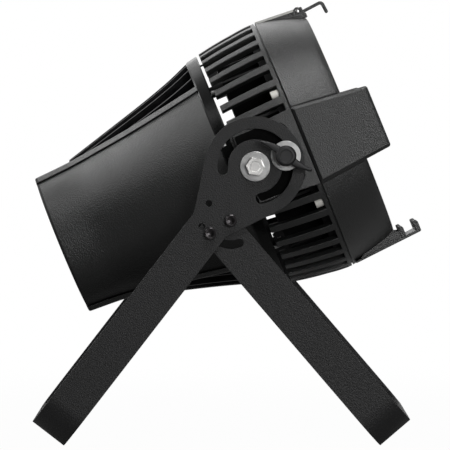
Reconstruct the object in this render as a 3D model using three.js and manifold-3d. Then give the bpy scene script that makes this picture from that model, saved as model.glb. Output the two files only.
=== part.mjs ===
// A stage par light with a finned LED head, hung in a two-piece yoke that opens into a floor stand.
// Millimetres, +Z up. The beam leaves towards +X and the two yoke arms stand at -Y and +Y.
// Every piece is worked out about the tilt pivot, and the whole part is then stood on z = 0.

import * as THREE from "three";
import { mergeVertices } from "three/addons/utils/BufferGeometryUtils.js";
import Module from "manifold-3d";

const wasm = await Module();
wasm.setup();

const degrees = Math.PI / 180;
const fullTurn = 2 * Math.PI;

// Clearances that every fit shares
const fit = 0.3; // gap between two pieces that rest on each other
const overrun = 2; // how far a cut runs past the face that it opens
const weld = 1e-4; // vertices closer than this are one

// Rest pose and travel
const headElevation = 22.3 * degrees; // beam axis above level
const legLean = 37.7 * degrees; // main yoke arms from plumb
const tiltDown = 99 * degrees; // from rest, nose down
const tiltOver = 166 * degrees; // from rest, nose up and over
const studDrop = 3 * degrees; // the locking stud sits this far under the beam axis

// Both yokes are bent from flat bar
const bar = { width: 40.6, sheet: 3, bend: 37 };

// Main yoke, measured from the tilt pivot down the arm
const mainYoke = {
  length: 346.3, // pivot to the outer face of the crossbar
  eyeRadius: 50.8,
  taperDrop: 75, // where the round eye runs into the straight bar
  clampHole: 13,
};

// Fold joint: a pin and a clamp screw through both yokes on each side
const fold = {
  pinAcross: 14.1,
  pinDown: 58.3,
  clampAcross: 5.6,
  clampDown: 81.4,
  shank: 8,
  head: 12.4,
  headTall: 5.2,
  socket: 6,
  socketDeep: 3,
  nut: 13,
  nutTall: 4,
  pinTail: 1,
  spareHole: 6.6,
};

// Stand yoke, measured from the fold pin
const standYoke = { length: 275.6, top: 16, corner: 9 };

// Tilt joint hardware on each side
const tilt = {
  shank: 10,
  grip: 16, // length of thread inside the head's boss
  hexAcross: 17,
  hexTall: 6.4,
  washer: 30.5,
  washerThick: 1.8,
  bush: 26,
  lockBush: 17,
  bushLong: 5.9,
  lockRadius: 33, // pivot to the locking stud
  studOut: 14, // stud beyond the washer
  slotPlay: 0.4,
};

// Wing knob
const knob = {
  hub: 21,
  cap: 16.5,
  tall: 19.9,
  capBevel: 2,
  wingReach: 30,
  wingRoot: 4.6,
  wingTip: 1.7,
  wingSweep: 2.5,
  wingLift: 8.4, // underside of the wings above the foot of the hub
  wingTall: 8.6,
  restTurn: 52 * degrees,
};

// Head, along the beam axis from the pivot
const shell = {
  rear: -218,
  front: -25,
  rearRadius: 73.5,
  frontRadius: 124.7,
  frontEdge: 98.8, // half height of the side cheeks at the front
  wall: 3,
  bevel: 3.2,
  tongueHalf: 43,
  hoopRear: -26.3,
  hoopFront: -13.2,
  hoopRadius: 128.2,
  hoopDeep: 6,
};
// Places along the shell, and how far its radius and its cheek height have risen there
const stationShares = [0, 0.18, 0.4, 0.56, 0.8, 1];
const radiusShares = [0, 0.036, 0.242, 0.45, 0.765, 1];
const edgeShares = [0, 0.085, 0.277, 0.435, 0.727, 1];

const fins = { perSide: 7, pitch: 10 * degrees, thick: 1.8, deck: 4, rear: -180, front: -26.6 };
const deckRearHalf = 38;
const deckFrontHalf = 84;

const duct = { outer: 44, inner: 38.4, rear: -84 };

// The rest of the head's radii and heights are given as drops below the cage's radius at the seam
const cage = {
  rear: -10.2,
  seam: 55.5,
  seamRadius: 137.2,
  middleDrop: 2.6,
  rearDrop: 8,
  ribDeep: 6.5,
  ringThick: 4.4,
  ringWide: 21.2,
  slotWidth: 13,
  pitch: 9 * degrees,
  slotsAround: 40,
};

// Flat bosses on both sides of the cage that the yoke bolts to
const boss = { rear: -9.6, halfRear: 36.5, halfSeam: 41.5, proud: 3.3, rootDrop: 15.2 };

const cageScrew = { count: 6, drop: 7.2, head: 7.6, headTall: 8, shank: 4, grip: 3 };

const sink = { rear: 1.5, core: 47, lap: 5, rimThick: 7, fin: 3, fins: 24 };
const board = { thick: 2, inset: 5, chip: 7, chipTall: 0.8 };
const optics = {
  plate: 3,
  standoff: 3,
  inset: 3,
  lens: 20.2,
  lensProud: 1.5,
  pitch: 42.4,
  cone: 15,
  tall: 17,
  rings: 2,
};

const bezel = {
  wall: 3.2,
  front: 109,
  lip: 4,
  lipWide: 13.2,
  flange: 4.4,
  flangeWide: 19.2,
};
// Outer outline of the bezel: its drop at places between the seam and the front edge
const bezelPlaceShares = [0, 0.25, 0.68, 0.9, 1];
const bezelDrops = [0.2, 2.8, 8.4, 12.6, 16];

const glass = { thick: 3, play: 3 };
const retainer = { thick: 4, lap: 5 };

// Blocks beside the lens and a bracket under it hold two accessory frames
const frameSlots = { prongRear: 114, prongFront: 119, wallRear: 130 };
const guide = { front: 136, halfFront: 33, wall: 12, lip: 10.5, round: 6 };
const holder = {
  rear: 60,
  front: 135.5,
  rearDrop: 1.8,
  frontDrop: 7.6,
  sheet: 2.2,
  half: 35,
  prongWide: 12,
  tipDrop: 20.6,
};

const latch = {
  bridgeRear: 57,
  bridgeRearDrop: 0.6,
  bridgeFrontDrop: 3,
  bridgeSheet: 2,
  bridgeHalf: 13,
  cheekRear: 96.8,
  cheekFront: 110.5,
  cheekTopDrop: 2.6,
  cheekFootDrop: 15.2,
  cheekThick: 4,
  pin: 4,
  pinX: 102.8,
  pinDrop: 5.7,
  knuckle: 9,
  hookHalf: 5.4,
  hookThick: 3.4,
  hookReach: 131.6,
  hookTipDrop: 21.6,
  hookBend: 5,
  hookLift: 5.5 * degrees, // how far the hook rests above the line of the beam
};

const rearPanel = { thick: 2.5, inset: 4 };
const display = { wide: 42, tall: 20, proud: 0.8, z: 34 };
const button = {
  count: 4,
  cap: 7.4,
  flange: 9.6,
  flangeThick: 0.8,
  proud: 1.6,
  travel: 1,
  pitch: 15,
  z: 12,
};
const connector = {
  powerRadius: 12.6,
  dataRadius: 11.4,
  flange: 2,
  proud: 2.4,
  recess: 3.2,
  wall: 2.2,
  powerY: 24,
  powerZ: -46,
  dataY: 30,
  dataZ: -14,
};
const controlBoard = { thick: 1.6, radius: 63 };
const driver = {
  thick: 2,
  rear: -158,
  front: -96,
  y: 18,
  parts: 5,
  partWide: 8,
  partProud: 14,
  lowest: 0.28, // height of the first part as a share of the board's
};

const fan = {
  x: -48,
  deep: 15,
  ring: 3.6,
  hub: 13,
  strut: 4,
  strutThick: 3,
  struts: 3,
  blades: 7,
  bladeThick: 1.6,
  bladePitch: 38 * degrees,
  tipPlay: 1.2,
};

// Facets: round things of each size share one count, and arcs in a drawn outline take twice theirs
const facets = { ring: 48, disc: 20, bolt: 12, small: 8, plateArc: 8, smallArc: 3 };

// Finishes
const paint = () => new THREE.MeshStandardMaterial({ color: 0x2b2c2e, roughness: 0.62, metalness: 0.25 });
const yokePaint = () => new THREE.MeshStandardMaterial({ color: 0x232426, roughness: 0.75, metalness: 0.2 });
const zinc = () => new THREE.MeshStandardMaterial({ color: 0xc9cbc8, roughness: 0.32, metalness: 0.95 });
const darkSteel = () => new THREE.MeshStandardMaterial({ color: 0x4a4b4e, roughness: 0.4, metalness: 0.9 });
const plastic = () => new THREE.MeshStandardMaterial({ color: 0x1b1c1e, roughness: 0.5, metalness: 0 });
const anodised = () => new THREE.MeshStandardMaterial({ color: 0x101113, roughness: 0.55, metalness: 0.6 });
const clear = () =>
  new THREE.MeshStandardMaterial({ color: 0xe8eef0, roughness: 0.05, transparent: true, opacity: 0.35 });
const laminate = () => new THREE.MeshStandardMaterial({ color: 0x1f4a30, roughness: 0.5, metalness: 0.1 });

// Derived places that several pieces share
const below = (drop) => cage.seamRadius - drop;
const bossFace = cage.seamRadius + boss.proud;
const armInner = bossFace + fit + tilt.bushLong + fit;
const armOuter = armInner + bar.sheet;
const standOuter = armInner - fit;
const standInner = standOuter - bar.sheet;
const washerSeat = armOuter + fit;
const washerTop = washerSeat + tilt.washerThick;
const stud = {
  x: tilt.lockRadius * Math.cos(studDrop),
  z: -tilt.lockRadius * Math.sin(studDrop),
};
const origin = { x: 0, z: 0 };
const eyeSlot = tilt.shank + tilt.slotPlay;
const deckZ = duct.outer + fit;
const panelRear = shell.rear + rearPanel.inset;
const panelFront = panelRear + rearPanel.thick;
const boardRear = panelFront + fit + button.flangeThick + button.travel + fit;
const boardFront = boardRear + controlBoard.thick;
const ringRear = cage.seam - cage.ringThick;
const ringInner = below(cage.ringWide);
const sinkFront = ringRear - fit;
const ledBoardRear = sinkFront + fit;
const ledBoardFront = ledBoardRear + board.thick;
const opticsRear = ledBoardFront + board.chipTall + fit;
const lipRear = bezel.front - bezel.lip;
const glassRear = lipRear - fit - glass.thick;
const retainerRear = glassRear - fit - retainer.thick;

// The stand's arms lean the other way, as far as puts both crossbars on one floor
const pinX = fold.pinAcross * Math.cos(legLean) - fold.pinDown * Math.sin(legLean);
const pinZ = -fold.pinAcross * Math.sin(legLean) - fold.pinDown * Math.cos(legLean);
const floorDrop = mainYoke.length * Math.cos(legLean) + (bar.width / 2) * Math.sin(legLean);
const standToe = fold.pinAcross + bar.width / 2;
const standReach = Math.hypot(standToe, standYoke.length);
const standLean =
  Math.atan2(standToe, standYoke.length) + Math.acos((floorDrop + pinZ) / standReach);

// Solids

function solid(geometry) {
  const bare = geometry.index ? geometry.toNonIndexed() : geometry.clone();
  for (const extra of Object.keys(bare.attributes)) if (extra !== "position") bare.deleteAttribute(extra);
  const merged = mergeVertices(bare, weld);
  const index = merged.index.array;
  const faces = [];
  for (let i = 0; i < index.length; i += 3) {
    const [a, b, c] = [index[i], index[i + 1], index[i + 2]];
    if (a !== b && b !== c && c !== a) faces.push([a, b, c]);
  }
  const build = (list) =>
    new wasm.Manifold(
      new wasm.Mesh({
        numProp: 3,
        vertProperties: merged.attributes.position.array,
        triVerts: Uint32Array.from(list.flat()),
      }),
    );
  const made = build(faces);
  return made.volume() < 0 ? build(faces.map(([a, b, c]) => [a, c, b])) : made;
}

const join = (...pieces) => pieces.reduce((whole, piece) => whole.add(piece));
const cut = (whole, ...tools) => tools.reduce((left, tool) => left.subtract(tool), whole);

function mesh(name, body, material) {
  const data = body.getMesh();
  const geometry = new THREE.BufferGeometry()
    .setAttribute("position", new THREE.BufferAttribute(Float32Array.from(data.vertProperties), 3))
    .setIndex(new THREE.BufferAttribute(Uint32Array.from(data.triVerts), 1));
  geometry.computeVertexNormals();
  material.flatShading = true;
  const made = new THREE.Mesh(geometry, material);
  made.name = name;
  return made;
}

// Extrusion of a shape drawn in two of the axes, between two places on the third
const drawnOn = {
  xy: new THREE.Matrix4(),
  yz: new THREE.Matrix4().makeBasis(
    new THREE.Vector3(0, 1, 0),
    new THREE.Vector3(0, 0, 1),
    new THREE.Vector3(1, 0, 0),
  ),
  xz: new THREE.Matrix4().makeBasis(
    new THREE.Vector3(1, 0, 0),
    new THREE.Vector3(0, 0, 1),
    new THREE.Vector3(0, 1, 0),
  ),
};

function extruded(shape, plane, from, to, curveSegments = facets.plateArc) {
  const low = Math.min(from, to);
  const geometry = new THREE.ExtrudeGeometry(shape, {
    depth: Math.abs(to - from),
    bevelEnabled: false,
    curveSegments,
  });
  geometry.translate(0, 0, low);
  return solid(geometry.applyMatrix4(drawnOn[plane]));
}

const polygon = (points) => new THREE.Shape(points.map(([a, b]) => new THREE.Vector2(a, b)));

function block(x0, x1, y0, y1, z0, z1) {
  const geometry = new THREE.BoxGeometry(Math.abs(x1 - x0), Math.abs(y1 - y0), Math.abs(z1 - z0));
  return solid(geometry.translate((x0 + x1) / 2, (y0 + y1) / 2, (z0 + z1) / 2));
}

// Turned solids: about the beam axis from [x, radius] points, and about a cross axis from [y, radius] points
function turnedOnBeam(points, segments = facets.ring) {
  const profile = points.map(([x, r]) => new THREE.Vector2(r, x));
  return solid(new THREE.LatheGeometry([...profile, profile[0]], segments).rotateZ(-Math.PI / 2));
}

function turnedAcross(points, { x = 0, z = 0 } = {}, side = 1, segments = facets.bolt) {
  const profile = points.map(([y, r]) => new THREE.Vector2(r, side * y));
  return solid(new THREE.LatheGeometry([...profile, profile[0]], segments).translate(x, 0, z));
}

const rodOnBeam = (x0, x1, radius, y = 0, z = 0, segments = facets.bolt) =>
  solid(
    new THREE.CylinderGeometry(radius, radius, Math.abs(x1 - x0), segments)
      .rotateZ(-Math.PI / 2)
      .translate((x0 + x1) / 2, y, z),
  );

const rodAcross = (y0, y1, radius, { x = 0, z = 0 } = {}, segments = facets.bolt) =>
  solid(
    new THREE.CylinderGeometry(radius, radius, Math.abs(y1 - y0), segments)
      .translate(x, (y0 + y1) / 2, z),
  );

function hexAcross(y0, y1, acrossFlats, { x = 0, z = 0 } = {}) {
  const radius = acrossFlats / 2 / Math.cos(Math.PI / 6);
  return rodAcross(y0, y1, radius, { x, z }, 6);
}

// A solid turned about the beam axis by an angle from +Y towards +Z
const aroundBeam = (body, angle) => body.rotate([angle / degrees, 0, 0]);

// Closed skin over rings of [y, z] points at stations along the beam axis
function lofted(stations) {
  const count = stations[0].ring.length;
  const positions = [];
  const vertex = ({ x, ring }, i) => [x, ...ring[i % count]];
  for (let s = 0; s + 1 < stations.length; s++)
    for (let i = 0; i < count; i++) {
      const [a, b] = [vertex(stations[s], i), vertex(stations[s], i + 1)];
      const [c, d] = [vertex(stations[s + 1], i), vertex(stations[s + 1], i + 1)];
      positions.push(...a, ...b, ...c, ...b, ...d, ...c);
    }
  const cap = (station, turned) => {
    const centre = [station.x, 0, 0];
    for (let i = 0; i < count; i++) {
      const edge = [vertex(station, i), vertex(station, i + 1)];
      if (turned) edge.reverse();
      positions.push(...centre, ...edge[0], ...edge[1]);
    }
  };
  cap(stations[0], true);
  cap(stations[stations.length - 1], false);
  const geometry = new THREE.BufferGeometry();
  geometry.setAttribute("position", new THREE.Float32BufferAttribute(positions, 3));
  return solid(geometry);
}

// Yokes

// A U of flat bar in its own frame: arms down -Z from zTop, crossbar across the end
function barU(outerHalf, length, zTop, middleX) {
  const { bend, sheet, width } = bar;
  const low = -length + bend;
  const inner = outerHalf - bend;
  const outline = new THREE.Shape();
  outline.moveTo(-outerHalf, zTop);
  outline.lineTo(-outerHalf, low);
  outline.absarc(-inner, low, bend, Math.PI, 1.5 * Math.PI, false);
  outline.lineTo(inner, -length);
  outline.absarc(inner, low, bend, 1.5 * Math.PI, fullTurn, false);
  outline.lineTo(outerHalf, zTop);
  outline.lineTo(outerHalf - sheet, zTop);
  outline.lineTo(outerHalf - sheet, low);
  outline.absarc(inner, low, bend - sheet, fullTurn, 1.5 * Math.PI, true);
  outline.lineTo(-inner, -length + sheet);
  outline.absarc(-inner, low, bend - sheet, 1.5 * Math.PI, Math.PI, true);
  outline.lineTo(-outerHalf + sheet, zTop);
  outline.closePath();
  return extruded(outline, "yz", middleX - width / 2, middleX + width / 2, facets.smallArc);
}

function arcSlot(x, z, radius, width, from, to) {
  const half = width / 2;
  const slot = new THREE.Path();
  const endAt = (angle) => [x + radius * Math.cos(angle), z + radius * Math.sin(angle)];
  const chordRise = Math.cos((to - from) / (4 * facets.plateArc)); // keeps the chords outside the arc
  slot.absarc(x, z, (radius + half) / chordRise, from, to, false);
  slot.absarc(...endAt(to), half, to, to + Math.PI, false);
  slot.absarc(x, z, radius - half, to, from, true);
  slot.absarc(...endAt(from), half, from + Math.PI, from + fullTurn, false);
  slot.closePath();
  return slot;
}

function roundHole(x, z, diameter) {
  const hole = new THREE.Path();
  hole.absarc(x, z, diameter / 2, 0, fullTurn, false);
  return hole;
}

const plateEnd = fold.clampDown + bar.width / 2;

function eyePlateShape() {
  const half = bar.width / 2;
  const { eyeRadius, taperDrop } = mainYoke;
  const cornerAngle = Math.atan2(-taperDrop, half);
  const touch = cornerAngle + Math.acos(eyeRadius / Math.hypot(half, taperDrop));
  const plate = new THREE.Shape();
  plate.moveTo(half, -plateEnd);
  plate.lineTo(half, -taperDrop);
  plate.absarc(0, 0, eyeRadius, touch, Math.PI - touch, false);
  plate.lineTo(-half, -taperDrop);
  plate.lineTo(-half, -plateEnd);
  plate.closePath();
  const studRest = headElevation - studDrop + legLean;
  plate.holes.push(
    roundHole(0, 0, tilt.shank + 2 * fit),
    arcSlot(0, 0, tilt.lockRadius, eyeSlot, studRest - tiltDown, studRest + tiltOver),
    roundHole(fold.pinAcross, -fold.pinDown, fold.shank + 2 * fit),
    roundHole(fold.clampAcross, -fold.clampDown, fold.shank + 2 * fit),
    roundHole(-fold.pinAcross, -fold.pinDown, fold.spareHole),
    roundHole(-fold.clampAcross, -fold.clampDown, fold.spareHole),
  );
  return plate;
}

// Straight through the crossbar, for the bolt of a hook clamp
function crossbarHole(length, middleX) {
  const radius = mainYoke.clampHole / 2;
  return solid(
    new THREE.CylinderGeometry(radius, radius, bar.sheet + 2 * overrun, facets.bolt)
      .rotateX(Math.PI / 2)
      .translate(middleX, 0, -length + bar.sheet / 2),
  );
}

function makeMainYoke() {
  const plates = [-1, 1].map((side) =>
    extruded(eyePlateShape(), "xz", side * armInner, side * armOuter),
  );
  const u = barU(armOuter, mainYoke.length, -plateEnd + overrun, 0);
  return cut(join(...plates, cutAbove(u, -plateEnd)), crossbarHole(mainYoke.length, 0));
}

// The bar's arms stop where the arm plates take over, with a short lap so that they join
function cutAbove(body, z) {
  const reach = 2 * armOuter;
  return cut(body, block(-reach, reach, -reach, reach, z + overrun / 2, z + reach));
}

function standPlateShape() {
  const half = bar.width / 2;
  const middle = -fold.pinAcross;
  const { top, corner } = standYoke;
  const plate = new THREE.Shape();
  const drop = plateEnd - fold.pinDown;
  plate.moveTo(middle - half, -drop);
  plate.lineTo(middle + half, -drop);
  plate.lineTo(middle + half, top - corner);
  plate.absarc(middle + half - corner, top - corner, corner, 0, Math.PI / 2, false);
  plate.absarc(middle - half + corner, top - corner, corner, Math.PI / 2, Math.PI, false);
  plate.closePath();
  const across = fold.clampAcross - fold.pinAcross;
  const down = fold.clampDown - fold.pinDown;
  const folded = Math.atan2(-down, across);
  plate.holes.push(
    roundHole(0, 0, fold.shank + 2 * fit),
    arcSlot(0, 0, Math.hypot(across, down), fold.shank + 2 * fit, folded - legLean - standLean, folded),
  );
  return plate;
}

function makeStandYoke() {
  const drop = plateEnd - fold.pinDown;
  const plates = [-1, 1].map((side) =>
    extruded(standPlateShape(), "xz", side * standInner, side * standOuter),
  );
  const u = barU(standOuter, standYoke.length, -drop + overrun, -fold.pinAcross);
  return cut(join(...plates, cutAbove(u, -drop)), crossbarHole(standYoke.length, -fold.pinAcross));
}

// Socket screw head with its shank, for the fold pin and the clamp screw
function socketScrew(at, side, tail) {
  const seat = armOuter + fit;
  const body = join(
    rodAcross(side * seat, side * (seat + fold.headTall), fold.head / 2, at),
    rodAcross(side * tail, side * (seat + overrun), fold.shank / 2, at),
  );
  const mouth = seat + fold.headTall;
  return cut(body, hexAcross(side * (mouth - fold.socketDeep), side * (mouth + overrun), fold.socket, at));
}

function clampNut(at, side) {
  const seat = standInner - fit;
  const face = seat - fold.nutTall;
  const bore = rodAcross(side * (face - overrun), side * (seat + overrun), fold.shank / 2 + fit, at);
  return cut(hexAcross(side * face, side * seat, fold.nut, at), bore);
}

// Tilt hardware

const pivotBolt = (side) =>
  join(
    hexAcross(side * (washerTop + fit), side * (washerTop + fit + tilt.hexTall), tilt.hexAcross),
    rodAcross(side * (bossFace - tilt.grip + fit), side * (washerTop + overrun), tilt.shank / 2),
  );

// Bushes and washers share one bore round the bolt or the stud
function ringAcross([from, to], outer, at, side) {
  const bore = tilt.shank / 2 + fit;
  return turnedAcross(
    [
      [from, bore],
      [from, outer / 2],
      [to, outer / 2],
      [to, bore],
    ],
    at,
    side,
    facets.disc,
  );
}

const lockStud = (side) =>
  rodAcross(side * (bossFace - tilt.grip + fit), side * (washerTop + tilt.studOut), tilt.shank / 2, stud);

function wingShape() {
  const { wingReach, wingRoot, wingTip, wingSweep } = knob;
  const wing = new THREE.Shape();
  wing.moveTo(0, -wingRoot);
  wing.quadraticCurveTo(wingReach / 2, -wingRoot - wingSweep, wingReach - wingTip, -wingTip);
  wing.absarc(wingReach - wingTip, 0, wingTip, -Math.PI / 2, Math.PI / 2, false);
  wing.quadraticCurveTo(wingReach / 2, wingSweep - wingTip, 0, wingRoot);
  wing.closePath();
  return wing;
}

function wingKnob(side) {
  const foot = washerTop + fit;
  const top = foot + knob.tall;
  const hub = turnedAcross(
    [
      [foot, 0],
      [foot, knob.hub / 2],
      [top - knob.capBevel, knob.hub / 2],
      [top, knob.cap / 2],
      [top, 0],
    ],
    {},
    side,
    facets.disc,
  );
  const wings = [0, Math.PI].map((turn) =>
    extruded(
      wingShape(),
      "xz",
      side * (foot + knob.wingLift),
      side * (foot + knob.wingLift + knob.wingTall),
      facets.smallArc,
    ).rotate([0, (turn + knob.restTurn) / degrees, 0]),
  );
  const bore = rodAcross(
    side * (foot - overrun),
    side * (washerTop + tilt.studOut + fit),
    tilt.shank / 2 + fit,
  );
  return cut(join(hub, ...wings), bore).translate([stud.x, 0, stud.z]);
}

// Value at a place on a line of straight stretches, given the values at their ends
function between(places, values, at) {
  const found = places.findIndex((place) => place >= at);
  const after = found < 0 ? places.length - 1 : Math.max(1, found);
  const share = (at - places[after - 1]) / (places[after] - places[after - 1]);
  return values[after - 1] + share * (values[after] - values[after - 1]);
}

// Rear shell

// Radius of the head's outer envelope and half height of the cheeks, anywhere along the shell
function alongShell(x) {
  const share = (x - shell.rear) / (shell.front - shell.rear);
  const rise = (shares) => between(stationShares, shares, share);
  return {
    radius: shell.rearRadius + rise(radiusShares) * (shell.frontRadius - shell.rearRadius),
    edge: shell.rearRadius + rise(edgeShares) * (shell.frontEdge - shell.rearRadius),
  };
}

const shellPlaces = stationShares.map((share) => shell.rear + share * (shell.front - shell.rear));

// One cheek's arc on each side, bevelled into a flat top and bottom
function shellRing(radius, edge, bevel) {
  const steps = facets.small;
  const reach = Math.asin(Math.min(1, (edge - bevel) / radius));
  const right = [];
  for (let i = 0; i <= steps; i++) {
    const angle = -reach + (2 * reach * i) / steps;
    right.push([radius * Math.cos(angle), radius * Math.sin(angle)]);
  }
  const shoulder = Math.max(radius * Math.cos(reach) - bevel, bevel);
  const half = [[shoulder, -edge], ...right, [shoulder, edge]];
  return [...half, ...half.map(([y, z]) => [-y, -z])];
}

function shellBlank() {
  return lofted(
    shellPlaces.map((x) => {
      const { radius, edge } = alongShell(x);
      return { x, ring: shellRing(radius, edge, shell.bevel) };
    }),
  );
}

function roundBlank(inset, from, to) {
  const places = shellPlaces.filter((x) => x > from && x < to);
  const points = [from, ...places, to].map((x) => [x, alongShell(x).radius - inset]);
  return turnedOnBeam([[from, 0], ...points, [to, 0]]);
}

const hoop = () =>
  turnedOnBeam([
    [shell.hoopRear, shell.hoopRadius - shell.hoopDeep],
    [shell.hoopRear, alongShell(shell.hoopRear).radius],
    [shell.hoopFront, shell.hoopRadius],
    [shell.hoopFront, shell.hoopRadius - shell.hoopDeep],
  ]);

// Curved tongues carry the cheeks forward to the bosses of the cage
function tongues() {
  const front = Math.min(boss.rear, cage.rear) - fit;
  const sleeve = turnedOnBeam([
    [shell.hoopRear, shell.frontRadius - 2 * shell.wall],
    [shell.hoopRear, shell.frontRadius],
    [front, shell.hoopRadius],
    [front, shell.frontRadius - 2 * shell.wall],
  ]);
  const reach = 2 * shell.hoopRadius;
  const keep = block(shell.rear, reach, -reach, reach, -shell.tongueHalf, shell.tongueHalf);
  return sleeve.intersect(keep);
}

function makeRearShell() {
  const cavity = roundBlank(shell.wall, shell.rear - overrun, shell.front + overrun);
  return join(cut(shellBlank(), cavity), hoop(), tongues());
}

// Radial blades on a flat deck, seen above and below between the cheeks
function makeFins(side) {
  const deck = extruded(
    polygon([
      [fins.rear, -deckRearHalf],
      [fins.front, -deckFrontHalf],
      [fins.front, deckFrontHalf],
      [fins.rear, deckRearHalf],
    ]),
    "xy",
    side * deckZ,
    side * (deckZ + fins.deck),
  );
  const places = shellPlaces.filter((x) => x > fins.rear && x < fins.front);
  const top = [fins.rear, ...places, fins.front].map((x) => [x, alongShell(x).radius]);
  const outline = polygon([[fins.rear, 0], ...top, [fins.front, 0]]);
  const blade = extruded(outline, "xz", -fins.thick / 2, fins.thick / 2);
  const middle = (fins.perSide - 1) / 2;
  const blades = [...Array(fins.perSide).keys()].map((i) =>
    aroundBeam(blade, side * Math.PI * 0.5 - Math.PI * 0.5 + (i - middle) * fins.pitch),
  );
  const reach = shell.hoopRadius;
  const inside = shell.wall + fit;
  const round = roundBlank(inside, fins.rear - overrun, fins.front + overrun);
  const room = join(round, cheekOpening(inside, side));
  const half = block(shell.rear, reach, -reach, reach, side * deckZ, side * reach);
  return join(deck, ...blades).intersect(room).intersect(half);
}

// Prism over the opening between the cheeks, which widens as the head's radius outgrows them
function cheekOpening(inside, side) {
  const steps = 4 * shellPlaces.length;
  const edgeLine = [];
  for (let i = 0; i <= steps; i++) {
    const x = shell.rear + (i * (shell.front - shell.rear)) / steps;
    const { radius, edge } = alongShell(x);
    const width = Math.sqrt(Math.max(0, (radius - inside) ** 2 - edge ** 2));
    if (width > 0) edgeLine.push([x, width]);
  }
  const mirrored = edgeLine.map(([x, y]) => [x, -y]).reverse();
  return extruded(polygon([...edgeLine, ...mirrored]), "xy", side * deckZ, side * shell.hoopRadius);
}

const makeDuct = () =>
  turnedOnBeam(
    [
      [duct.rear, duct.inner],
      [duct.rear, duct.outer],
      [sink.rear - fit, duct.outer],
      [sink.rear - fit, duct.inner],
    ],
    facets.disc,
  );

// Rib cage

function makeCage() {
  const { rear, seam, ribDeep } = cage;
  const middle = (rear + seam) / 2;
  const outer = [
    [rear, below(cage.rearDrop)],
    [(rear + middle) / 2, below((cage.rearDrop + cage.middleDrop) / 2 - fit)],
    [middle, below(cage.middleDrop)],
    [ringRear, cage.seamRadius],
    [seam - fit, cage.seamRadius],
  ];
  const inner = [
    [ringRear, cage.seamRadius - ribDeep],
    [middle, below(cage.middleDrop) - ribDeep],
    [rear, below(cage.rearDrop) - ribDeep],
  ];
  const ring = turnedOnBeam([
    ...outer,
    [seam - fit, ringInner],
    [ringRear, ringInner],
    ...inner,
  ]);
  const slot = block(
    rear - overrun,
    ringRear,
    ringInner,
    cage.seamRadius + overrun,
    -cage.slotWidth / 2,
    cage.slotWidth / 2,
  );
  const slots = [];
  for (let i = 0; i < cage.slotsAround; i++) {
    const angle = i * cage.pitch;
    const clearOfBoss = Math.abs(Math.sin(angle)) * below(cage.rearDrop) > boss.halfRear;
    if (clearOfBoss) slots.push(aroundBeam(slot, angle));
  }
  const whole = join(cut(ring, ...slots), cageBoss(-1), cageBoss(1));
  return cut(whole, ...screwBores(ringRear - overrun, cage.seam + overrun), ...tiltBores());
}

function cageBoss(side) {
  const outline = polygon([
    [boss.rear, -boss.halfRear],
    [cage.seam - fit, -boss.halfSeam],
    [cage.seam - fit, boss.halfSeam],
    [boss.rear, boss.halfRear],
  ]);
  return extruded(outline, "xz", side * below(boss.rootDrop), side * bossFace);
}

// Holes in the bosses for the pivot bolts and the locking studs
const tiltBores = () =>
  [-1, 1].flatMap((side) =>
    [origin, stud].map((at) =>
      rodAcross(side * (bossFace - tilt.grip), side * (bossFace + overrun), tilt.shank / 2 + fit, at),
    ),
  );

const screwPlaces = [...Array(cageScrew.count).keys()].map((i) => {
  const even = (fullTurn * (i + 0.5)) / cageScrew.count;
  const angle = Math.round(even / cage.pitch) * cage.pitch; // in the middle of the nearest slot
  const ring = below(cageScrew.drop);
  return { y: ring * Math.cos(angle), z: ring * Math.sin(angle) };
});

const screwBores = (from, to) =>
  screwPlaces.map(({ y, z }) => rodOnBeam(from, to, cageScrew.shank / 2 + fit, y, z, facets.small));

const makeCageScrew = ({ y, z }) =>
  join(
    rodOnBeam(ringRear - fit - cageScrew.headTall, ringRear - fit, cageScrew.head / 2, y, z, facets.small),
    rodOnBeam(ringRear - overrun, cage.seam + cageScrew.grip, cageScrew.shank / 2, y, z, facets.small),
  );

// Light engine

function makeSink() {
  const plateRear = sinkFront - sink.rimThick;
  const plate = rodOnBeam(plateRear, sinkFront, ringInner + sink.lap, 0, 0, facets.disc);
  const core = rodOnBeam(sink.rear, sinkFront, sink.core, 0, 0, facets.disc);
  const half = sink.fin / 2;
  const fin = block(sink.rear, sinkFront - overrun, sink.core / 2, ringInner - fit, -half, half);
  const around = [...Array(sink.fins).keys()].map((i) => aroundBeam(fin, (fullTurn * (i + 0.5)) / sink.fins));
  return join(plate, core, ...around);
}

// Centres of a close-packed pattern: one in the middle and a hexagon of places in each ring round it
const lensPlaces = [{ y: 0, z: 0 }];
for (let ring = 1; ring <= optics.rings; ring++)
  for (let corner = 0; corner < 6; corner++)
    for (let step = 0; step < ring; step++) {
      const [a, b] = [corner, corner + 1].map((k) => (k * Math.PI) / 3 + Math.PI / 6);
      const share = step / ring;
      lensPlaces.push({
        y: optics.pitch * ring * ((1 - share) * Math.cos(a) + share * Math.cos(b)),
        z: optics.pitch * ring * ((1 - share) * Math.sin(a) + share * Math.sin(b)),
      });
    }

function makeLedBoard() {
  const disc = rodOnBeam(ledBoardRear, ledBoardFront, ringInner - board.inset, 0, 0, facets.disc);
  const chips = lensPlaces.map(({ y, z }) =>
    block(
      ledBoardFront - board.thick / 2,
      ledBoardFront + board.chipTall,
      y - board.chip / 2,
      y + board.chip / 2,
      z - board.chip / 2,
      z + board.chip / 2,
    ),
  );
  return join(disc, ...chips);
}

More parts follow.
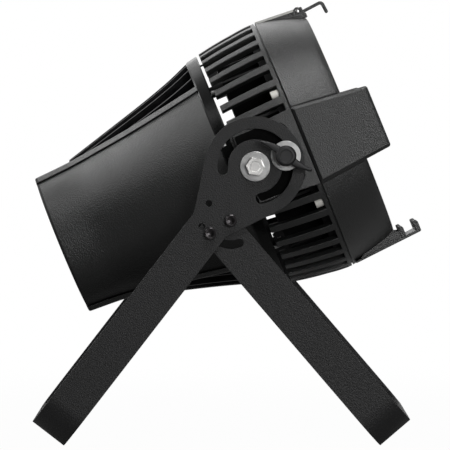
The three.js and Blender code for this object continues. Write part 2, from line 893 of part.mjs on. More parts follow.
function makeOptics() {
  const mouth = opticsRear + optics.standoff + optics.tall;
  const plateFront = mouth - optics.lensProud;
  const plate = rodOnBeam(plateFront - optics.plate, plateFront, ringInner - optics.inset, 0, 0, facets.disc);
  const cones = lensPlaces.map(({ y, z }) =>
    solid(
      new THREE.CylinderGeometry(optics.lens, optics.cone / 2, optics.tall + optics.standoff, facets.small)
        .rotateZ(-Math.PI / 2)
        .translate((opticsRear + mouth) / 2, y, z),
    ),
  );
  return join(plate, ...cones);
}

// Bezel

const bezelPlaces = bezelPlaceShares.map((share) => cage.seam + share * (bezel.front - cage.seam));

const bezelRadii = bezelDrops.map(below);

const bezelRadiusAt = (x) => between(bezelPlaces, bezelRadii, x);

const bezelMouth = below(bezelDrops[bezelDrops.length - 1] + bezel.lipWide);

const bezelBore = bezelRadiusAt(glassRear) - bezel.wall;

function makeBezel() {
  const outer = bezelPlaces.map((x, i) => [x, bezelRadii[i]]);
  const inner = outer
    .slice(1, -1)
    .map(([x, r]) => [x, r - bezel.wall])
    .reverse();
  const flangeFront = cage.seam + bezel.flange;
  const ring = turnedOnBeam([
    ...outer,
    [bezel.front, bezelMouth],
    [lipRear, bezelMouth],
    [lipRear, bezelRadiusAt(lipRear) - bezel.wall],
    ...inner.filter(([x]) => x < lipRear && x > flangeFront),
    [flangeFront, bezelRadiusAt(flangeFront) - bezel.wall],
    [flangeFront, below(bezel.flangeWide)],
    [cage.seam, below(bezel.flangeWide)],
  ]);
  return cut(ring, ...screwBores(cage.seam - overrun, cage.seam + cageScrew.grip + fit));
}

// The bezel grown by the fit, to cut what is fastened on it
function bezelBlank() {
  const grown = bezelPlaces.map((x, i) => [x, bezelRadii[i] + fit]);
  const [rear] = grown;
  return turnedOnBeam([
    [rear[0] - overrun, 0],
    [rear[0] - overrun, rear[1]],
    ...grown,
    [bezel.front + fit, bezelRadii[bezelRadii.length - 1] + fit],
    [bezel.front + fit, 0],
  ]);
}

const makeGlass = () =>
  rodOnBeam(glassRear, glassRear + glass.thick, bezelBore - glass.play, 0, 0, facets.ring);

function makeRetainer() {
  const outer = bezelBore - 2 * fit;
  const inner = bezelBore - glass.play - retainer.lap;
  return turnedOnBeam([
    [retainerRear, inner],
    [retainerRear, outer],
    [retainerRear + retainer.thick, outer],
    [retainerRear + retainer.thick, inner],
  ]);
}

// Blocks beside the bezel, grooved for the accessory frames
function makeGuide(side) {
  const rear = cage.seam + fit;
  const { front, halfFront, round, wall, lip } = guide;
  const face = bossFace - fit;
  const open = face - wall;
  const reach = open - lip;
  const outline = new THREE.Shape();
  outline.moveTo(rear, -boss.halfSeam);
  outline.lineTo(front - round, -halfFront);
  outline.absarc(front - round, -halfFront + round, round, -Math.PI / 2, 0, false);
  outline.absarc(front - round, halfFront - round, round, 0, Math.PI / 2, false);
  outline.lineTo(rear, boss.halfSeam);
  outline.closePath();
  const body = extruded(outline, "xz", side * reach, side * face, facets.smallArc);
  const high = boss.halfSeam + overrun;
  const groove = (from, to) => block(from, to, side * (reach - overrun), side * open, -high, high);
  return cut(
    body,
    bezelBlank(),
    groove(bezel.front, frameSlots.prongRear),
    groove(frameSlots.prongFront, frameSlots.wallRear),
  );
}

// Sheet bracket under the lens, with two prongs and a front wall at each end
function makeHolder() {
  const { rear, front, sheet, half, prongWide } = holder;
  const [rearZ, frontZ, tip] = [holder.rearDrop, holder.frontDrop, holder.tipDrop].map(below);
  const base = extruded(
    polygon([
      [rear, -rearZ],
      [front, -frontZ],
      [front, -frontZ + sheet],
      [rear, -rearZ + sheet],
    ]),
    "xz",
    -half,
    half,
  );
  const upright = (from, to, side) =>
    block(from, to, side * half, side * (half - prongWide), -frontZ + sheet / 2, -tip);
  const sill = block(frameSlots.wallRear, front, -half, half, -frontZ + sheet / 2, -frontZ + 2 * sheet);
  const uprights = [-1, 1].flatMap((side) => [
    block(frameSlots.prongRear, frameSlots.prongFront, side * half, side * (half - prongWide), -frontZ, -tip),
    upright(frameSlots.wallRear, front, side),
  ]);
  return cut(join(base, sill, ...uprights), bezelBlank());
}

const latchPin = { x: latch.pinX, z: below(latch.pinDrop) };

function makeLatchBracket() {
  const bridge = extruded(
    polygon([
      [latch.bridgeRear, below(latch.bridgeRearDrop)],
      [latch.bridgeRear, below(latch.bridgeRearDrop) - latch.bridgeSheet],
      [latch.cheekRear + overrun, below(latch.bridgeFrontDrop) - latch.bridgeSheet],
      [latch.cheekRear + overrun, below(latch.bridgeFrontDrop)],
    ]),
    "xz",
    -latch.bridgeHalf,
    latch.bridgeHalf,
  );
  const cheeks = block(
    latch.cheekRear,
    latch.cheekFront,
    -latch.bridgeHalf,
    latch.bridgeHalf,
    below(latch.cheekFootDrop),
    below(latch.cheekTopDrop),
  );
  const cheekInner = latch.bridgeHalf - latch.cheekThick;
  const gap = block(
    latch.pinX - latch.knuckle / 2 - fit,
    latch.cheekFront + overrun,
    -cheekInner,
    cheekInner,
    latchPin.z - latch.knuckle / 2 - 2 * fit,
    below(latch.cheekTopDrop) + overrun,
  );
  const pinBore = rodAcross(
    -latch.bridgeHalf - overrun,
    latch.bridgeHalf + overrun,
    latch.pin / 2 + fit,
    latchPin,
    facets.small,
  );
  return cut(join(bridge, cheeks), gap, pinBore, bezelBlank());
}

const makeLatchPin = () =>
  rodAcross(
    -latch.bridgeHalf - 2 * fit,
    latch.bridgeHalf + 2 * fit,
    latch.pin / 2,
    latchPin,
    facets.small,
  );

// Strip hook: a knuckle on the pin, an arm over the frames and a lip that turns down in front of them
function makeLatchHook() {
  const { knuckle, hookThick, hookBend, hookHalf, hookLift } = latch;
  const reach = latch.hookReach - latchPin.x;
  const tip = below(latch.hookTipDrop) - latchPin.z;
  const top = hookThick - knuckle / 2;
  const outline = new THREE.Shape();
  outline.moveTo(0, top);
  outline.lineTo(reach - hookBend, top);
  outline.absarc(reach - hookBend, top - hookBend, hookBend, Math.PI / 2, 0, true);
  outline.lineTo(reach, tip);
  outline.lineTo(reach - hookThick, tip);
  outline.lineTo(reach - hookThick, top - hookBend);
  outline.absarc(reach - hookBend, top - hookBend, hookBend - hookThick, 0, Math.PI / 2, false);
  outline.lineTo(0, -knuckle / 2);
  outline.closePath();
  const arm = extruded(outline, "xz", -hookHalf, hookHalf, facets.smallArc);
  const barrel = rodAcross(-hookHalf, hookHalf, knuckle / 2);
  const bore = rodAcross(-hookHalf - overrun, hookHalf + overrun, latch.pin / 2 + fit, {}, facets.small);
  const flat = cut(join(arm, barrel), bore);
  return flat.rotate([0, -hookLift / degrees, 0]).translate([latchPin.x, 0, latchPin.z]);
}

// Rear panel and what it carries

const buttonPlaces = [...Array(button.count).keys()].map((i) => ({
  y: (i - (button.count - 1) / 2) * button.pitch,
  z: button.z,
}));

const connectorPlaces = [
  { name: "power_inlet", y: -connector.powerY, z: connector.powerZ, radius: connector.powerRadius },
  { name: "power_outlet", y: connector.powerY, z: connector.powerZ, radius: connector.powerRadius },
  { name: "data_inlet", y: -connector.dataY, z: connector.dataZ, radius: connector.dataRadius },
  { name: "data_outlet", y: connector.dataY, z: connector.dataZ, radius: connector.dataRadius },
];

function makeRearPanel() {
  const radius = shell.rearRadius - shell.wall - fit;
  const disc = rodOnBeam(panelRear, panelFront, radius, 0, 0, facets.ring);
  const [from, to] = [panelRear - overrun, panelFront + overrun];
  return cut(
    disc,
    block(
      from,
      to,
      -display.wide / 2 - fit,
      display.wide / 2 + fit,
      display.z - display.tall / 2 - fit,
      display.z + display.tall / 2 + fit,
    ),
    ...buttonPlaces.map(({ y, z }) => rodOnBeam(from, to, button.cap / 2 + fit, y, z)),
    ...connectorPlaces.map(({ y, z, radius: outer }) =>
      rodOnBeam(from, to, outer - connector.flange + fit, y, z, facets.disc),
    ),
  );
}

const makeDisplay = () =>
  block(
    panelRear - display.proud,
    boardRear - fit,
    -display.wide / 2,
    display.wide / 2,
    display.z - display.tall / 2,
    display.z + display.tall / 2,
  );

function makeButton({ y, z }) {
  const flangeRear = panelFront + fit;
  return join(
    rodOnBeam(panelRear - button.proud, flangeRear + button.flangeThick / 2, button.cap / 2, y, z),
    rodOnBeam(flangeRear, flangeRear + button.flangeThick, button.flange / 2, y, z),
  );
}

// Round chassis socket: a flange outside the panel, a body through it and a shallow mouth
function makeConnector({ y, z, radius }) {
  const face = panelRear - fit - connector.proud;
  const body = join(
    rodOnBeam(face, panelRear - fit, radius, y, z, facets.disc),
    rodOnBeam(panelRear - overrun, boardRear - fit, radius - connector.flange, y, z, facets.disc),
  );
  const mouth = radius - connector.flange - connector.wall;
  return cut(body, rodOnBeam(face - overrun, face + connector.recess, mouth, y, z, facets.disc));
}

const makeControlBoard = () => rodOnBeam(boardRear, boardFront, controlBoard.radius, 0, 0, facets.disc);

function makeDriverBoard() {
  const { rear, front, y, thick, parts, partWide, partProud, lowest } = driver;
  const high = deckZ - fit;
  const sheet = block(rear, front, y, y + thick, -high, high);
  const step = (front - rear) / parts;
  const lumps = [...Array(parts).keys()].map((i) => {
    const centre = rear + (i + 0.5) * step;
    const foot = -high * (lowest + ((1 - lowest) * i) / parts);
    const half = partWide / 2;
    return block(centre - half, centre + half, y - partProud, y + thick / 2, foot, high / parts);
  });
  return join(sheet, ...lumps);
}

// Fan in the duct

const fanRadius = duct.inner - fit;

function makeFanFrame() {
  const ring = turnedOnBeam(
    [
      [fan.x, fanRadius - fan.ring],
      [fan.x, fanRadius],
      [fan.x + fan.deep, fanRadius],
      [fan.x + fan.deep, fanRadius - fan.ring],
    ],
    facets.disc,
  );
  const motor = rodOnBeam(fan.x, fan.x + fan.strutThick, fan.hub, 0, 0, facets.bolt);
  const strut = block(
    fan.x,
    fan.x + fan.strutThick,
    fan.hub / 2,
    fanRadius - fan.ring / 2,
    -fan.strut / 2,
    fan.strut / 2,
  );
  const struts = [...Array(fan.struts).keys()].map((i) => aroundBeam(strut, (fullTurn * i) / fan.struts));
  return join(ring, motor, ...struts);
}

function makeFanRotor() {
  const rear = fan.x + fan.strutThick + fit;
  const front = fan.x + fan.deep - fit;
  const tip = fanRadius - fan.ring - fan.tipPlay;
  const hub = rodOnBeam(rear, front, fan.hub, 0, 0, facets.bolt);
  const chord = (front - rear) / Math.cos(fan.bladePitch) - 2 * fan.bladeThick;
  const root = fan.hub / 2;
  const blade = solid(
    new THREE.BoxGeometry(chord, tip - root, fan.bladeThick)
      .translate(0, (tip + root) / 2, 0)
      .rotateY(fan.bladePitch)
      .translate((rear + front) / 2, 0, 0),
  );
  const blades = [...Array(fan.blades).keys()].map((i) => aroundBeam(blade, (fullTurn * i) / fan.blades));
  return join(hub, ...blades);
}

// Assembly

const sides = [
  { name: "near", side: -1 },
  { name: "far", side: 1 },
];
const part = new THREE.Group();

const yokeGroup = new THREE.Group();
yokeGroup.rotation.y = legLean;
yokeGroup.add(mesh("main_yoke", makeMainYoke(), yokePaint()));
const pinAt = { x: fold.pinAcross, z: -fold.pinDown };
const clampAt = { x: fold.clampAcross, z: -fold.clampDown };
const pinTail = standInner - fold.pinTail;
const clampTail = standInner - fit - fold.nutTall;
for (const { name, side } of sides)
  yokeGroup.add(
    mesh(`fold_pin_${name}`, socketScrew(pinAt, side, pinTail), darkSteel()),
    mesh(`fold_clamp_screw_${name}`, socketScrew(clampAt, side, clampTail), darkSteel()),
    mesh(`fold_clamp_nut_${name}`, clampNut(clampAt, side), darkSteel()),
  );

const standGroup = new THREE.Group();
standGroup.position.set(pinX, 0, pinZ);
standGroup.rotation.y = -standLean;
standGroup.add(mesh("stand_yoke", makeStandYoke(), yokePaint()));

const headGroup = new THREE.Group();
headGroup.rotation.y = -headElevation;
headGroup.add(
  mesh("rear_housing", makeRearShell(), paint()),
  mesh("heat_fins_upper", makeFins(1), anodised()),
  mesh("heat_fins_lower", makeFins(-1), anodised()),
  mesh("cooling_duct", makeDuct(), anodised()),
  mesh("rib_cage", makeCage(), paint()),
  mesh("led_heat_sink", makeSink(), anodised()),
  mesh("led_board", makeLedBoard(), laminate()),
  mesh("lens_array", makeOptics(), clear()),
  mesh("front_bezel", makeBezel(), paint()),
  mesh("front_glass", makeGlass(), clear()),
  mesh("glass_retainer", makeRetainer(), paint()),
  mesh("frame_holder", makeHolder(), paint()),
  mesh("latch_bracket", makeLatchBracket(), paint()),
  mesh("latch_pin", makeLatchPin(), zinc()),
  mesh("latch_hook", makeLatchHook(), paint()),
  mesh("rear_panel", makeRearPanel(), plastic()),
  mesh("display_window", makeDisplay(), plastic()),
  mesh("control_board", makeControlBoard(), laminate()),
  mesh("driver_board", makeDriverBoard(), laminate()),
  mesh("fan_frame", makeFanFrame(), plastic()),
  mesh("fan_rotor", makeFanRotor(), plastic()),
);
screwPlaces.forEach((place, i) => headGroup.add(mesh(`cage_screw_${i + 1}`, makeCageScrew(place), zinc())));
buttonPlaces.forEach((place, i) => headGroup.add(mesh(`menu_button_${i + 1}`, makeButton(place), plastic())));
for (const place of connectorPlaces) headGroup.add(mesh(place.name, makeConnector(place), plastic()));
const bushSpan = [bossFace + fit, armInner - fit];
const washerSpan = [washerSeat, washerTop];
for (const { name, side } of sides) {
  headGroup.add(
    mesh(`frame_guide_${name}`, makeGuide(side), paint()),
    mesh(`pivot_bush_${name}`, ringAcross(bushSpan, tilt.bush, origin, side), plastic()),
    mesh(`lock_bush_${name}`, ringAcross(bushSpan, tilt.lockBush, stud, side), plastic()),
    mesh(`pivot_washer_${name}`, ringAcross(washerSpan, tilt.washer, origin, side), zinc()),
    mesh(`lock_washer_${name}`, ringAcross(washerSpan, tilt.washer, stud, side), zinc()),
    mesh(`pivot_bolt_${name}`, pivotBolt(side), zinc()),
    mesh(`lock_stud_${name}`, lockStud(side), zinc()),
    mesh(`wing_knob_${name}`, wingKnob(side), plastic()),
  );
}

part.add(yokeGroup, standGroup, headGroup);

// Stood on z = 0, with the origin under the middle of the whole light
const extent = new THREE.Box3().setFromObject(part, true);
const middle = extent.getCenter(new THREE.Vector3());
part.position.set(-middle.x, -middle.y, -extent.min.z);

export default part;
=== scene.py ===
from math import acos, asin, atan2, cos, hypot, pi, radians, sin, sqrt, tan

import bmesh
import bpy
from mathutils import Matrix, Vector
from mathutils.geometry import tessellate_polygon


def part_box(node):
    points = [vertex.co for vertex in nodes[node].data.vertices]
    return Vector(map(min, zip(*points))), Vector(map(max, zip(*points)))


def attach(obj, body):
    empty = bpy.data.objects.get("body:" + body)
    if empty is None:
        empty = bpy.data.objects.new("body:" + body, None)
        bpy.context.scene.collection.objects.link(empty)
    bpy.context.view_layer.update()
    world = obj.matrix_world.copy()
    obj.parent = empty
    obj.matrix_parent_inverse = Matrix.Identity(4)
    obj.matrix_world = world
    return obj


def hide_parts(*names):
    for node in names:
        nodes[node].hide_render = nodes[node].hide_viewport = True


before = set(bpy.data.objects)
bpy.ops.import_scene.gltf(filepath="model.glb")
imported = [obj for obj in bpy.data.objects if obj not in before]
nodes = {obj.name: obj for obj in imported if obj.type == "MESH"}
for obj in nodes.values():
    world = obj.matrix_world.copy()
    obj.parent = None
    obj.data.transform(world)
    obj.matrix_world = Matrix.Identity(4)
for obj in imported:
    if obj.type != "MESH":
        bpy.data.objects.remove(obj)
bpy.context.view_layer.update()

# Places: the pivot from the CAD part, and the fold pin and clamp screw as seen from it in the main yoke

MILLIMETRE = Matrix.Scale(0.001, 4)
pivot_low, pivot_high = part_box("pivot_washer_near")
PIVOT = Vector((500 * (pivot_low[0] + pivot_high[0]), 0, 500 * (pivot_low[2] + pivot_high[2])))
ELEVATION = radians(22.3)
LEAN = radians(37.7)
FOLD_PIN = Vector((14.1, 0, -58.3))
FOLD_CLAMP = Vector((5.6, 0, -81.4))
STAND_LEAN = radians(40.5917)
SIDES = ((-1, "near"), (1, "far"))


def turned_about_y(angle):
    return Matrix.Rotation(angle, 4, "Y")


def in_scene(name, data):
    obj = bpy.data.objects.new(name, data)
    bpy.context.scene.collection.objects.link(obj)
    return obj


HEAD = MILLIMETRE @ Matrix.Translation(PIVOT) @ turned_about_y(-ELEVATION)
YOKE = MILLIMETRE @ Matrix.Translation(PIVOT) @ turned_about_y(LEAN)
fold_place = Matrix.Translation(PIVOT + turned_about_y(LEAN) @ FOLD_PIN)
STAND = MILLIMETRE @ fold_place @ turned_about_y(-STAND_LEAN)

# Camera, at the photograph's angle: nearly level, and square to the light's side

CAMERA_PLACE = (-0.002996, -4.1914, 0.34169)
CAMERA_DIP = 1.6243
PHOTO_WIDTH, FOCAL_PIXELS, SENSOR_WIDTH = 450, 3987.1, 36
camera_data = bpy.data.cameras.new("camera")
camera = in_scene("camera", camera_data)
camera.location = CAMERA_PLACE
camera.rotation_euler = (radians(90 - CAMERA_DIP), 0, 0)
camera_data.sensor_width = SENSOR_WIDTH
camera_data.lens = SENSOR_WIDTH * FOCAL_PIXELS / PHOTO_WIDTH
camera_data.clip_end = 60
bpy.context.scene.camera = camera
bpy.context.scene.view_settings.view_transform = "Standard"

# Materials


def fill(node, values):
    """Links or sets each socket of a node that is named in values. Other names are its settings."""
    for key, value in values.items():
        if isinstance(value, bpy.types.NodeSocket):
            node.id_data.links.new(value, node.inputs[key])
        elif key in node.inputs:
            node.inputs[key].default_value = value
        else:
            setattr(node, key, value)
    return node


def add(tree, kind, **values):
    return fill(tree.nodes.new(kind), values)


def new_material(name):
    material = bpy.data.materials.new(name)
    material.use_nodes = True
    tree = material.node_tree
    return material, tree, tree.nodes["Principled BSDF"]


def coordinates(tree, output):
    return add(tree, "ShaderNodeTexCoord").outputs[output]


def coordinate(tree, output, axis):
    return add(tree, "ShaderNodeSeparateXYZ", Vector=coordinates(tree, output)).outputs[axis]


def object_point(tree, stretch=(1, 1, 1)):
    where = coordinates(tree, "Object")
    return add(tree, "ShaderNodeMapping", Vector=where, Scale=stretch).outputs["Vector"]


def noise(tree, point, scale, detail=2.0, rough=0.5):
    values = {"Vector": point, "Scale": scale, "Detail": detail, "Roughness": rough}
    return add(tree, "ShaderNodeTexNoise", **values).outputs["Fac"]


def ramp(tree, value, low, high, colors):
    node = add(tree, "ShaderNodeValToRGB", Fac=value)
    for element, place, color in zip(node.color_ramp.elements, (low, high), colors):
        element.position = place
        element.color = (*color, 1)
    return node.outputs["Color"]


def span(tree, value, low, high):
    """A value from 0 to 1, stretched from low to high."""
    return add(tree, "ShaderNodeMapRange", **{"Value": value, "To Min": low, "To Max": high}).outputs[0]


def faded(tree, value, low, high, first, second):
    """Goes smoothly from first to second while the value goes from low to high."""
    ends = {"From Min": low, "From Max": high, "To Min": first, "To Max": second}
    return add(tree, "ShaderNodeMapRange", interpolation_type="SMOOTHSTEP", Value=value, **ends).outputs[0]


def bumps(tree, layers):
    """The normal from stacked bump layers of (height, strength, depth in metres)."""
    below = {}
    for height, strength, depth in layers:
        node = add(tree, "ShaderNodeBump", Height=height, Strength=strength, Distance=depth, **below)
        below = {"Normal": node.outputs["Normal"]}
    return below["Normal"]


def powder_coat(name, dark, light, rough, coarse, fine, grip, shine):
    """Sprayed and baked paint: an orange-peel grain, a finer grit on it and faint uneven gloss."""
    material, tree, shader = new_material(name)
    point = object_point(tree)
    peel = noise(tree, point, coarse, 3, 0.55)
    grit = noise(tree, point, fine, 2, 0.6)
    cloud = noise(tree, point, 22, 3, 0.6)
    fill(shader, {
        "Base Color": ramp(tree, peel, 0.32, 0.72, (dark, light)),
        "Roughness": span(tree, cloud, rough - 0.05, rough + 0.07),
        "Specular IOR Level": shine,
        "Normal": bumps(tree, [(peel, grip, 0.0006), (grit, grip * 0.6, 0.0002)]),
    })
    return material


def plated(name, dark, light, rough, metallic=1.0):
    """Plated or bare metal: fine turned scratches, smudges and a slightly uneven gloss."""
    material, tree, shader = new_material(name)
    smudge = noise(tree, object_point(tree), 150)
    scratch = noise(tree, object_point(tree, (1, 0.15, 1)), 900)
    fill(shader, {
        "Base Color": ramp(tree, smudge, 0.35, 0.7, (dark, light)),
        "Roughness": span(tree, smudge, rough - 0.02, rough + 0.05),
        "Metallic": metallic,
        "Normal": bumps(tree, [(scratch, 0.05, 0.00003)]),
    })
    return material


def moulded(name, dark, light, rough, grain=1600, grip=0.2, shine=0.5):
    """Moulded plastic with a spark-eroded grain."""
    material, tree, shader = new_material(name)
    point = object_point(tree)
    grains = noise(tree, point, grain, 2, 0.6)
    fill(shader, {
        "Base Color": ramp(tree, noise(tree, point, 35), 0.3, 0.7, (dark, light)),
        "Roughness": span(tree, grains, rough - 0.06, rough + 0.08),
        "Specular IOR Level": shine,
        "Normal": bumps(tree, [(grains, grip, 0.00008)]),
    })
    return material


def glassy(name, tint, rough):
    """Clear glass or acrylic with a faint haze."""
    material, tree, shader = new_material(name)
    haze = noise(tree, object_point(tree), 40, 3, 0.6)
    clearer = tuple(min(1, part * 1.02) for part in tint)
    fill(shader, {
        "Base Color": ramp(tree, haze, 0.3, 0.7, (tint, clearer)),
        "Roughness": span(tree, haze, rough, rough + 0.04),
        "Transmission Weight": 1.0,
        "IOR": 1.49,
    })
    return material


def circuit(name, mask, copper):
    """Solder mask over copper tracks."""
    material, tree, shader = new_material(name)
    point = object_point(tree)
    tracks = add(tree, "ShaderNodeTexVoronoi", feature="DISTANCE_TO_EDGE", Vector=point, Scale=140)
    edge = tracks.outputs["Distance"]
    fill(shader, {
        "Base Color": ramp(tree, edge, 0.03, 0.06, (copper, mask)),
        "Roughness": span(tree, noise(tree, point, 700), 0.32, 0.45),
        "Normal": bumps(tree, [(edge, 0.15, 0.00008)]),
    })
    return material


BLACK_PAINT = ((0.006, 0.0066, 0.0064), (0.015, 0.0156, 0.0150))
HOUSING = powder_coat("housing powder coat", *BLACK_PAINT, 0.33, 820, 2200, 0.9, 1.0)
SHELL_COAT_SHADED_BELOW = powder_coat("rear shell powder coat", *BLACK_PAINT, 0.33, 700, 2000, 1.0, 1.0)
# Painted shade: the gloss fades where the shell looks down, which darkens its underside
tree = SHELL_COAT_SHADED_BELOW.node_tree
painted_shade_below = faded(tree, coordinate(tree, "Normal", "Z"), -0.75, -0.3, 0.2, 1.0)
fill(tree.nodes["Principled BSDF"], {"Specular IOR Level": painted_shade_below})
HOOP_COAT = powder_coat("hoop smooth coat", (0.003, 0.0033, 0.0032), (0.006, 0.0064, 0.0063),
                        0.20, 900, 2600, 0.15, 0.18)
BAR = powder_coat("yoke powder coat", (0.0075, 0.0075, 0.008), (0.0155, 0.0155, 0.016),
                  0.48, 700, 2000, 1.0, 0.55)
FIN = plated("black anodised heat sink", (0.003, 0.003, 0.0034), (0.007, 0.007, 0.0075), 0.60, 0.2)
EDGED = plated("brushed black fin blades", (0.020, 0.020, 0.022), (0.034, 0.034, 0.036), 0.30, 0.6)
ZINC = plated("zinc plate", (0.54, 0.54, 0.54), (0.62, 0.62, 0.61), 0.28)
BRIGHT = plated("bright zinc plate", (0.88, 0.87, 0.85), (0.93, 0.92, 0.90), 0.30)
PALE = plated("pale zinc latch plate", (0.50, 0.50, 0.48), (0.60, 0.60, 0.57), 0.40, 0.45)
DULL = plated("dull zinc spacers", (0.82, 0.80, 0.74), (0.92, 0.90, 0.85), 0.40, 0.1)
STEEL = plated("dark plated steel", (0.045, 0.042, 0.044), (0.085, 0.080, 0.082), 0.30)
PLASTIC = moulded("black moulded plastic", (0.010, 0.010, 0.011), (0.016, 0.016, 0.017), 0.42)
GLOSS = moulded("display window", (0.006, 0.010, 0.016), (0.010, 0.016, 0.024), 0.12, 2500, 0.03)
CLEAR = glassy("front glass", (0.96, 0.985, 0.98), 0.0)
OPTIC = glassy("moulded lens", (0.97, 0.98, 0.99), 0.03)
LAMINATE = circuit("board laminate", (0.012, 0.060, 0.030), (0.030, 0.110, 0.060))
CHIP = moulded("light emitting chips", (0.75, 0.62, 0.22), (0.85, 0.74, 0.34), 0.35, 1200, 0.1)
CONTACT = plated("contact metal", (0.75, 0.60, 0.30), (0.85, 0.70, 0.40), 0.25)
RUBBER = moulded("rubber seal", (0.006, 0.006, 0.006), (0.010, 0.010, 0.010), 0.7, 1300, 0.3)
# Painted shade: a near-black, nearly glossless finish for the pad that darkens the eye's slot
SHADE_PAD_BLACK = moulded("painted shade pad", (0.003, 0.003, 0.003), (0.006, 0.006, 0.006), 0.85, 1900, 0.8, 0.1)

SLOTS = {
    "yoke_paint": [BAR],
    "housing_paint": [HOUSING, SHELL_COAT_SHADED_BELOW, HOOP_COAT],
    "zinc_steel": [ZINC, BRIGHT, PALE, DULL, CONTACT],
    "dark_steel": [STEEL],
    "heat_sink_metal": [FIN, EDGED],
    "black_plastic": [PLASTIC, RUBBER, SHADE_PAD_BLACK],
    "display_plastic": [GLOSS],
    "front_glass": [CLEAR],
    "optic_clear": [OPTIC, CHIP],
}
SLOT_OF = {material.name: slot for slot, materials in SLOTS.items() for material in materials}

# Outlines

TINY = 1e-6


def evenly(start, end, count):
    return [start + (end - start) * k / count for k in range(count + 1)]


def turned_point(x, y, angle):
    return x * cos(angle) - y * sin(angle), x * sin(angle) + y * cos(angle)


def polar(radius, angle):
    return radius * cos(angle), radius * sin(angle)


def fillet(points, radius, steps=3):
    """Rounds the corners of a closed outline. A point's third number is that corner's own radius."""
    made = []
    count = len(points)
    for i in range(count):
        before, here, after = (Vector(points[(i + k) % count][:2]) for k in (-1, 0, 1))
        r = points[i][2] if len(points[i]) > 2 else radius
        a, b = before - here, after - here
        sharp = r <= 0 or a.length < TINY or b.length < TINY
        if sharp or not 0.05 <= a.angle(b) <= pi - 0.02:
            made.append(tuple(here))
            continue
        half_angle = a.angle(b) / 2
        back = min(r / tan(half_angle), 0.49 * a.length, 0.49 * b.length)
        a.normalize()
        b.normalize()
        centre = here + (a + b).normalized() * (back * tan(half_angle) / sin(half_angle))
        start, end = here + a * back - centre, here + b * back - centre
        sweep = start.angle_signed(end)
        for turn in evenly(0, -sweep, steps):
            x, y = turned_point(*start, turn)
            made.append((centre.x + x, centre.y + y))
    return made


def arc(cx, cy, radius, start, end, steps):
    return [(cx + radius * cos(a), cy + radius * sin(a)) for a in evenly(start, end, steps)]


def circle(cx, cy, radius, steps=32):
    return arc(cx, cy, radius, 0, 2 * pi, steps)[:-1]


def arc_slot(radius, width, start, end, steps=40):
    """A slot with round ends that follows an arc about the origin."""
    half = width / 2
    first, last = polar(radius, start), polar(radius, end)
    return (
        arc(0, 0, radius + half, start, end, steps)[:-1]
        + arc(*last, half, end, end + pi, 10)[:-1]
        + arc(0, 0, radius - half, end, start, steps)[:-1]
        + arc(*first, half, start + pi, start + 2 * pi, 10)[:-1]
    )


def rectangle(a0, a1, b0, b1):
    return [(a0, b0), (a1, b0), (a1, b1), (a0, b1)]


def tube(low, high, inner, outer):
    return [(low, inner), (low, outer), (high, outer), (high, inner)]


def solid(low, high, radius):
    """Like a tube, but full to the axis, where its outline stays sharp."""
    return [(low, 0, 0), (low, radius), (high, radius), (high, 0, 0)]


def hexagon(across_flats):
    """The radius of a hexagon as a function of the angle."""
    def radius(angle):
        off = (angle + pi / 6) % (pi / 3) - pi / 6
        return across_flats / 2 / cos(off)

    return radius


def quadratic(a, b, c, steps):
    shares = [k / steps for k in range(steps + 1)]
    return [
        tuple((1 - t) ** 2 * p + 2 * t * (1 - t) * q + t * t * r for p, q, r in zip(a, b, c))
        for t in shares
    ]


def between(places, values, at):
    """Smooth curve through values at places, without overshoot."""
    count = len(places)
    slopes = [(values[i + 1] - values[i]) / (places[i + 1] - places[i]) for i in range(count - 1)]
    tangents = [slopes[0]]
    for a, b in zip(slopes, slopes[1:]):
        tangents.append(0 if a * b <= 0 else 2 * a * b / (a + b))
    tangents.append(slopes[-1])
    i = next((k for k in range(count - 1) if at <= places[k + 1]), count - 2)
    wide = places[i + 1] - places[i]
    t = (at - places[i]) / wide
    return (
        (2 * t**3 - 3 * t**2 + 1) * values[i]
        + (t**3 - 2 * t**2 + t) * wide * tangents[i]
        + (3 * t**2 - 2 * t**3) * values[i + 1]
        + (t**3 - t**2) * wide * tangents[i + 1]
    )


def area(loop):
    return sum(a[0] * b[1] - b[0] * a[1] for a, b in zip(loop, loop[1:] + loop[:1])) / 2


def inset(loop, distance, open_edges=()):
    """Moves a counter-clockwise loop inwards. Open edges, given by their first point, stay on their line."""
    count = len(loop)
    made = []
    for i in range(count):
        before, here, after = (Vector(loop[(i + k) % count]) for k in (-1, 0, 1))
        first, second = (here - before).normalized(), (after - here).normalized()
        normals = []
        if (i - 1) % count not in open_edges:
            normals.append(Vector((-first.y, first.x)))
        if i not in open_edges:
            normals.append(Vector((-second.y, second.x)))
        if len(normals) == 2:
            both = normals[0] + normals[1]
            move = both / max(0.35, both.length_squared / 2)
        elif normals:
            along = second if i in open_edges else first
            lean = along.dot(normals[0])
            move = along * ((1 if lean > 0 else -1) / max(0.3, abs(lean)))
        else:
            move = Vector((0, 0))
        made.append(tuple(here + move * distance))
    return made


ROUND_STEPS = 2


def edge_levels(edge):
    """(inset, depth) from the flat face to the side wall: round a quarter turn, or as listed."""
    if isinstance(edge, list):
        return edge
    turns = [k * pi / 2 / ROUND_STEPS for k in range(ROUND_STEPS + 1)]
    return [(edge * (1 - sin(a)), edge * (1 - cos(a))) for a in turns]


# Where drawn points go in space: (along, p, q) of turned forms, and (a, b, depth) of plates


def on_beam(y=0.0, z=0.0, way=1):
    return lambda along, p, q: (way * along, y + p, z + q)


def on_side(x=0.0, z=0.0, side=1):
    return lambda along, p, q: (x + p, side * along, z + q)


def in_xz(side=1):
    return lambda a, b, depth: (a, side * depth, b)


def in_yz(a, b, depth):
    return (depth, a, b)


def in_xy(a, b, depth):
    return (a, b, depth)


def on_blade(lean, side):
    """Plates that lean out from the beam axis, drawn along the beam and away from it."""
    def at(a, b, depth):
        out, across = turned_point(b, depth, lean)
        return a, across, side * out

    return at


# Mesh making


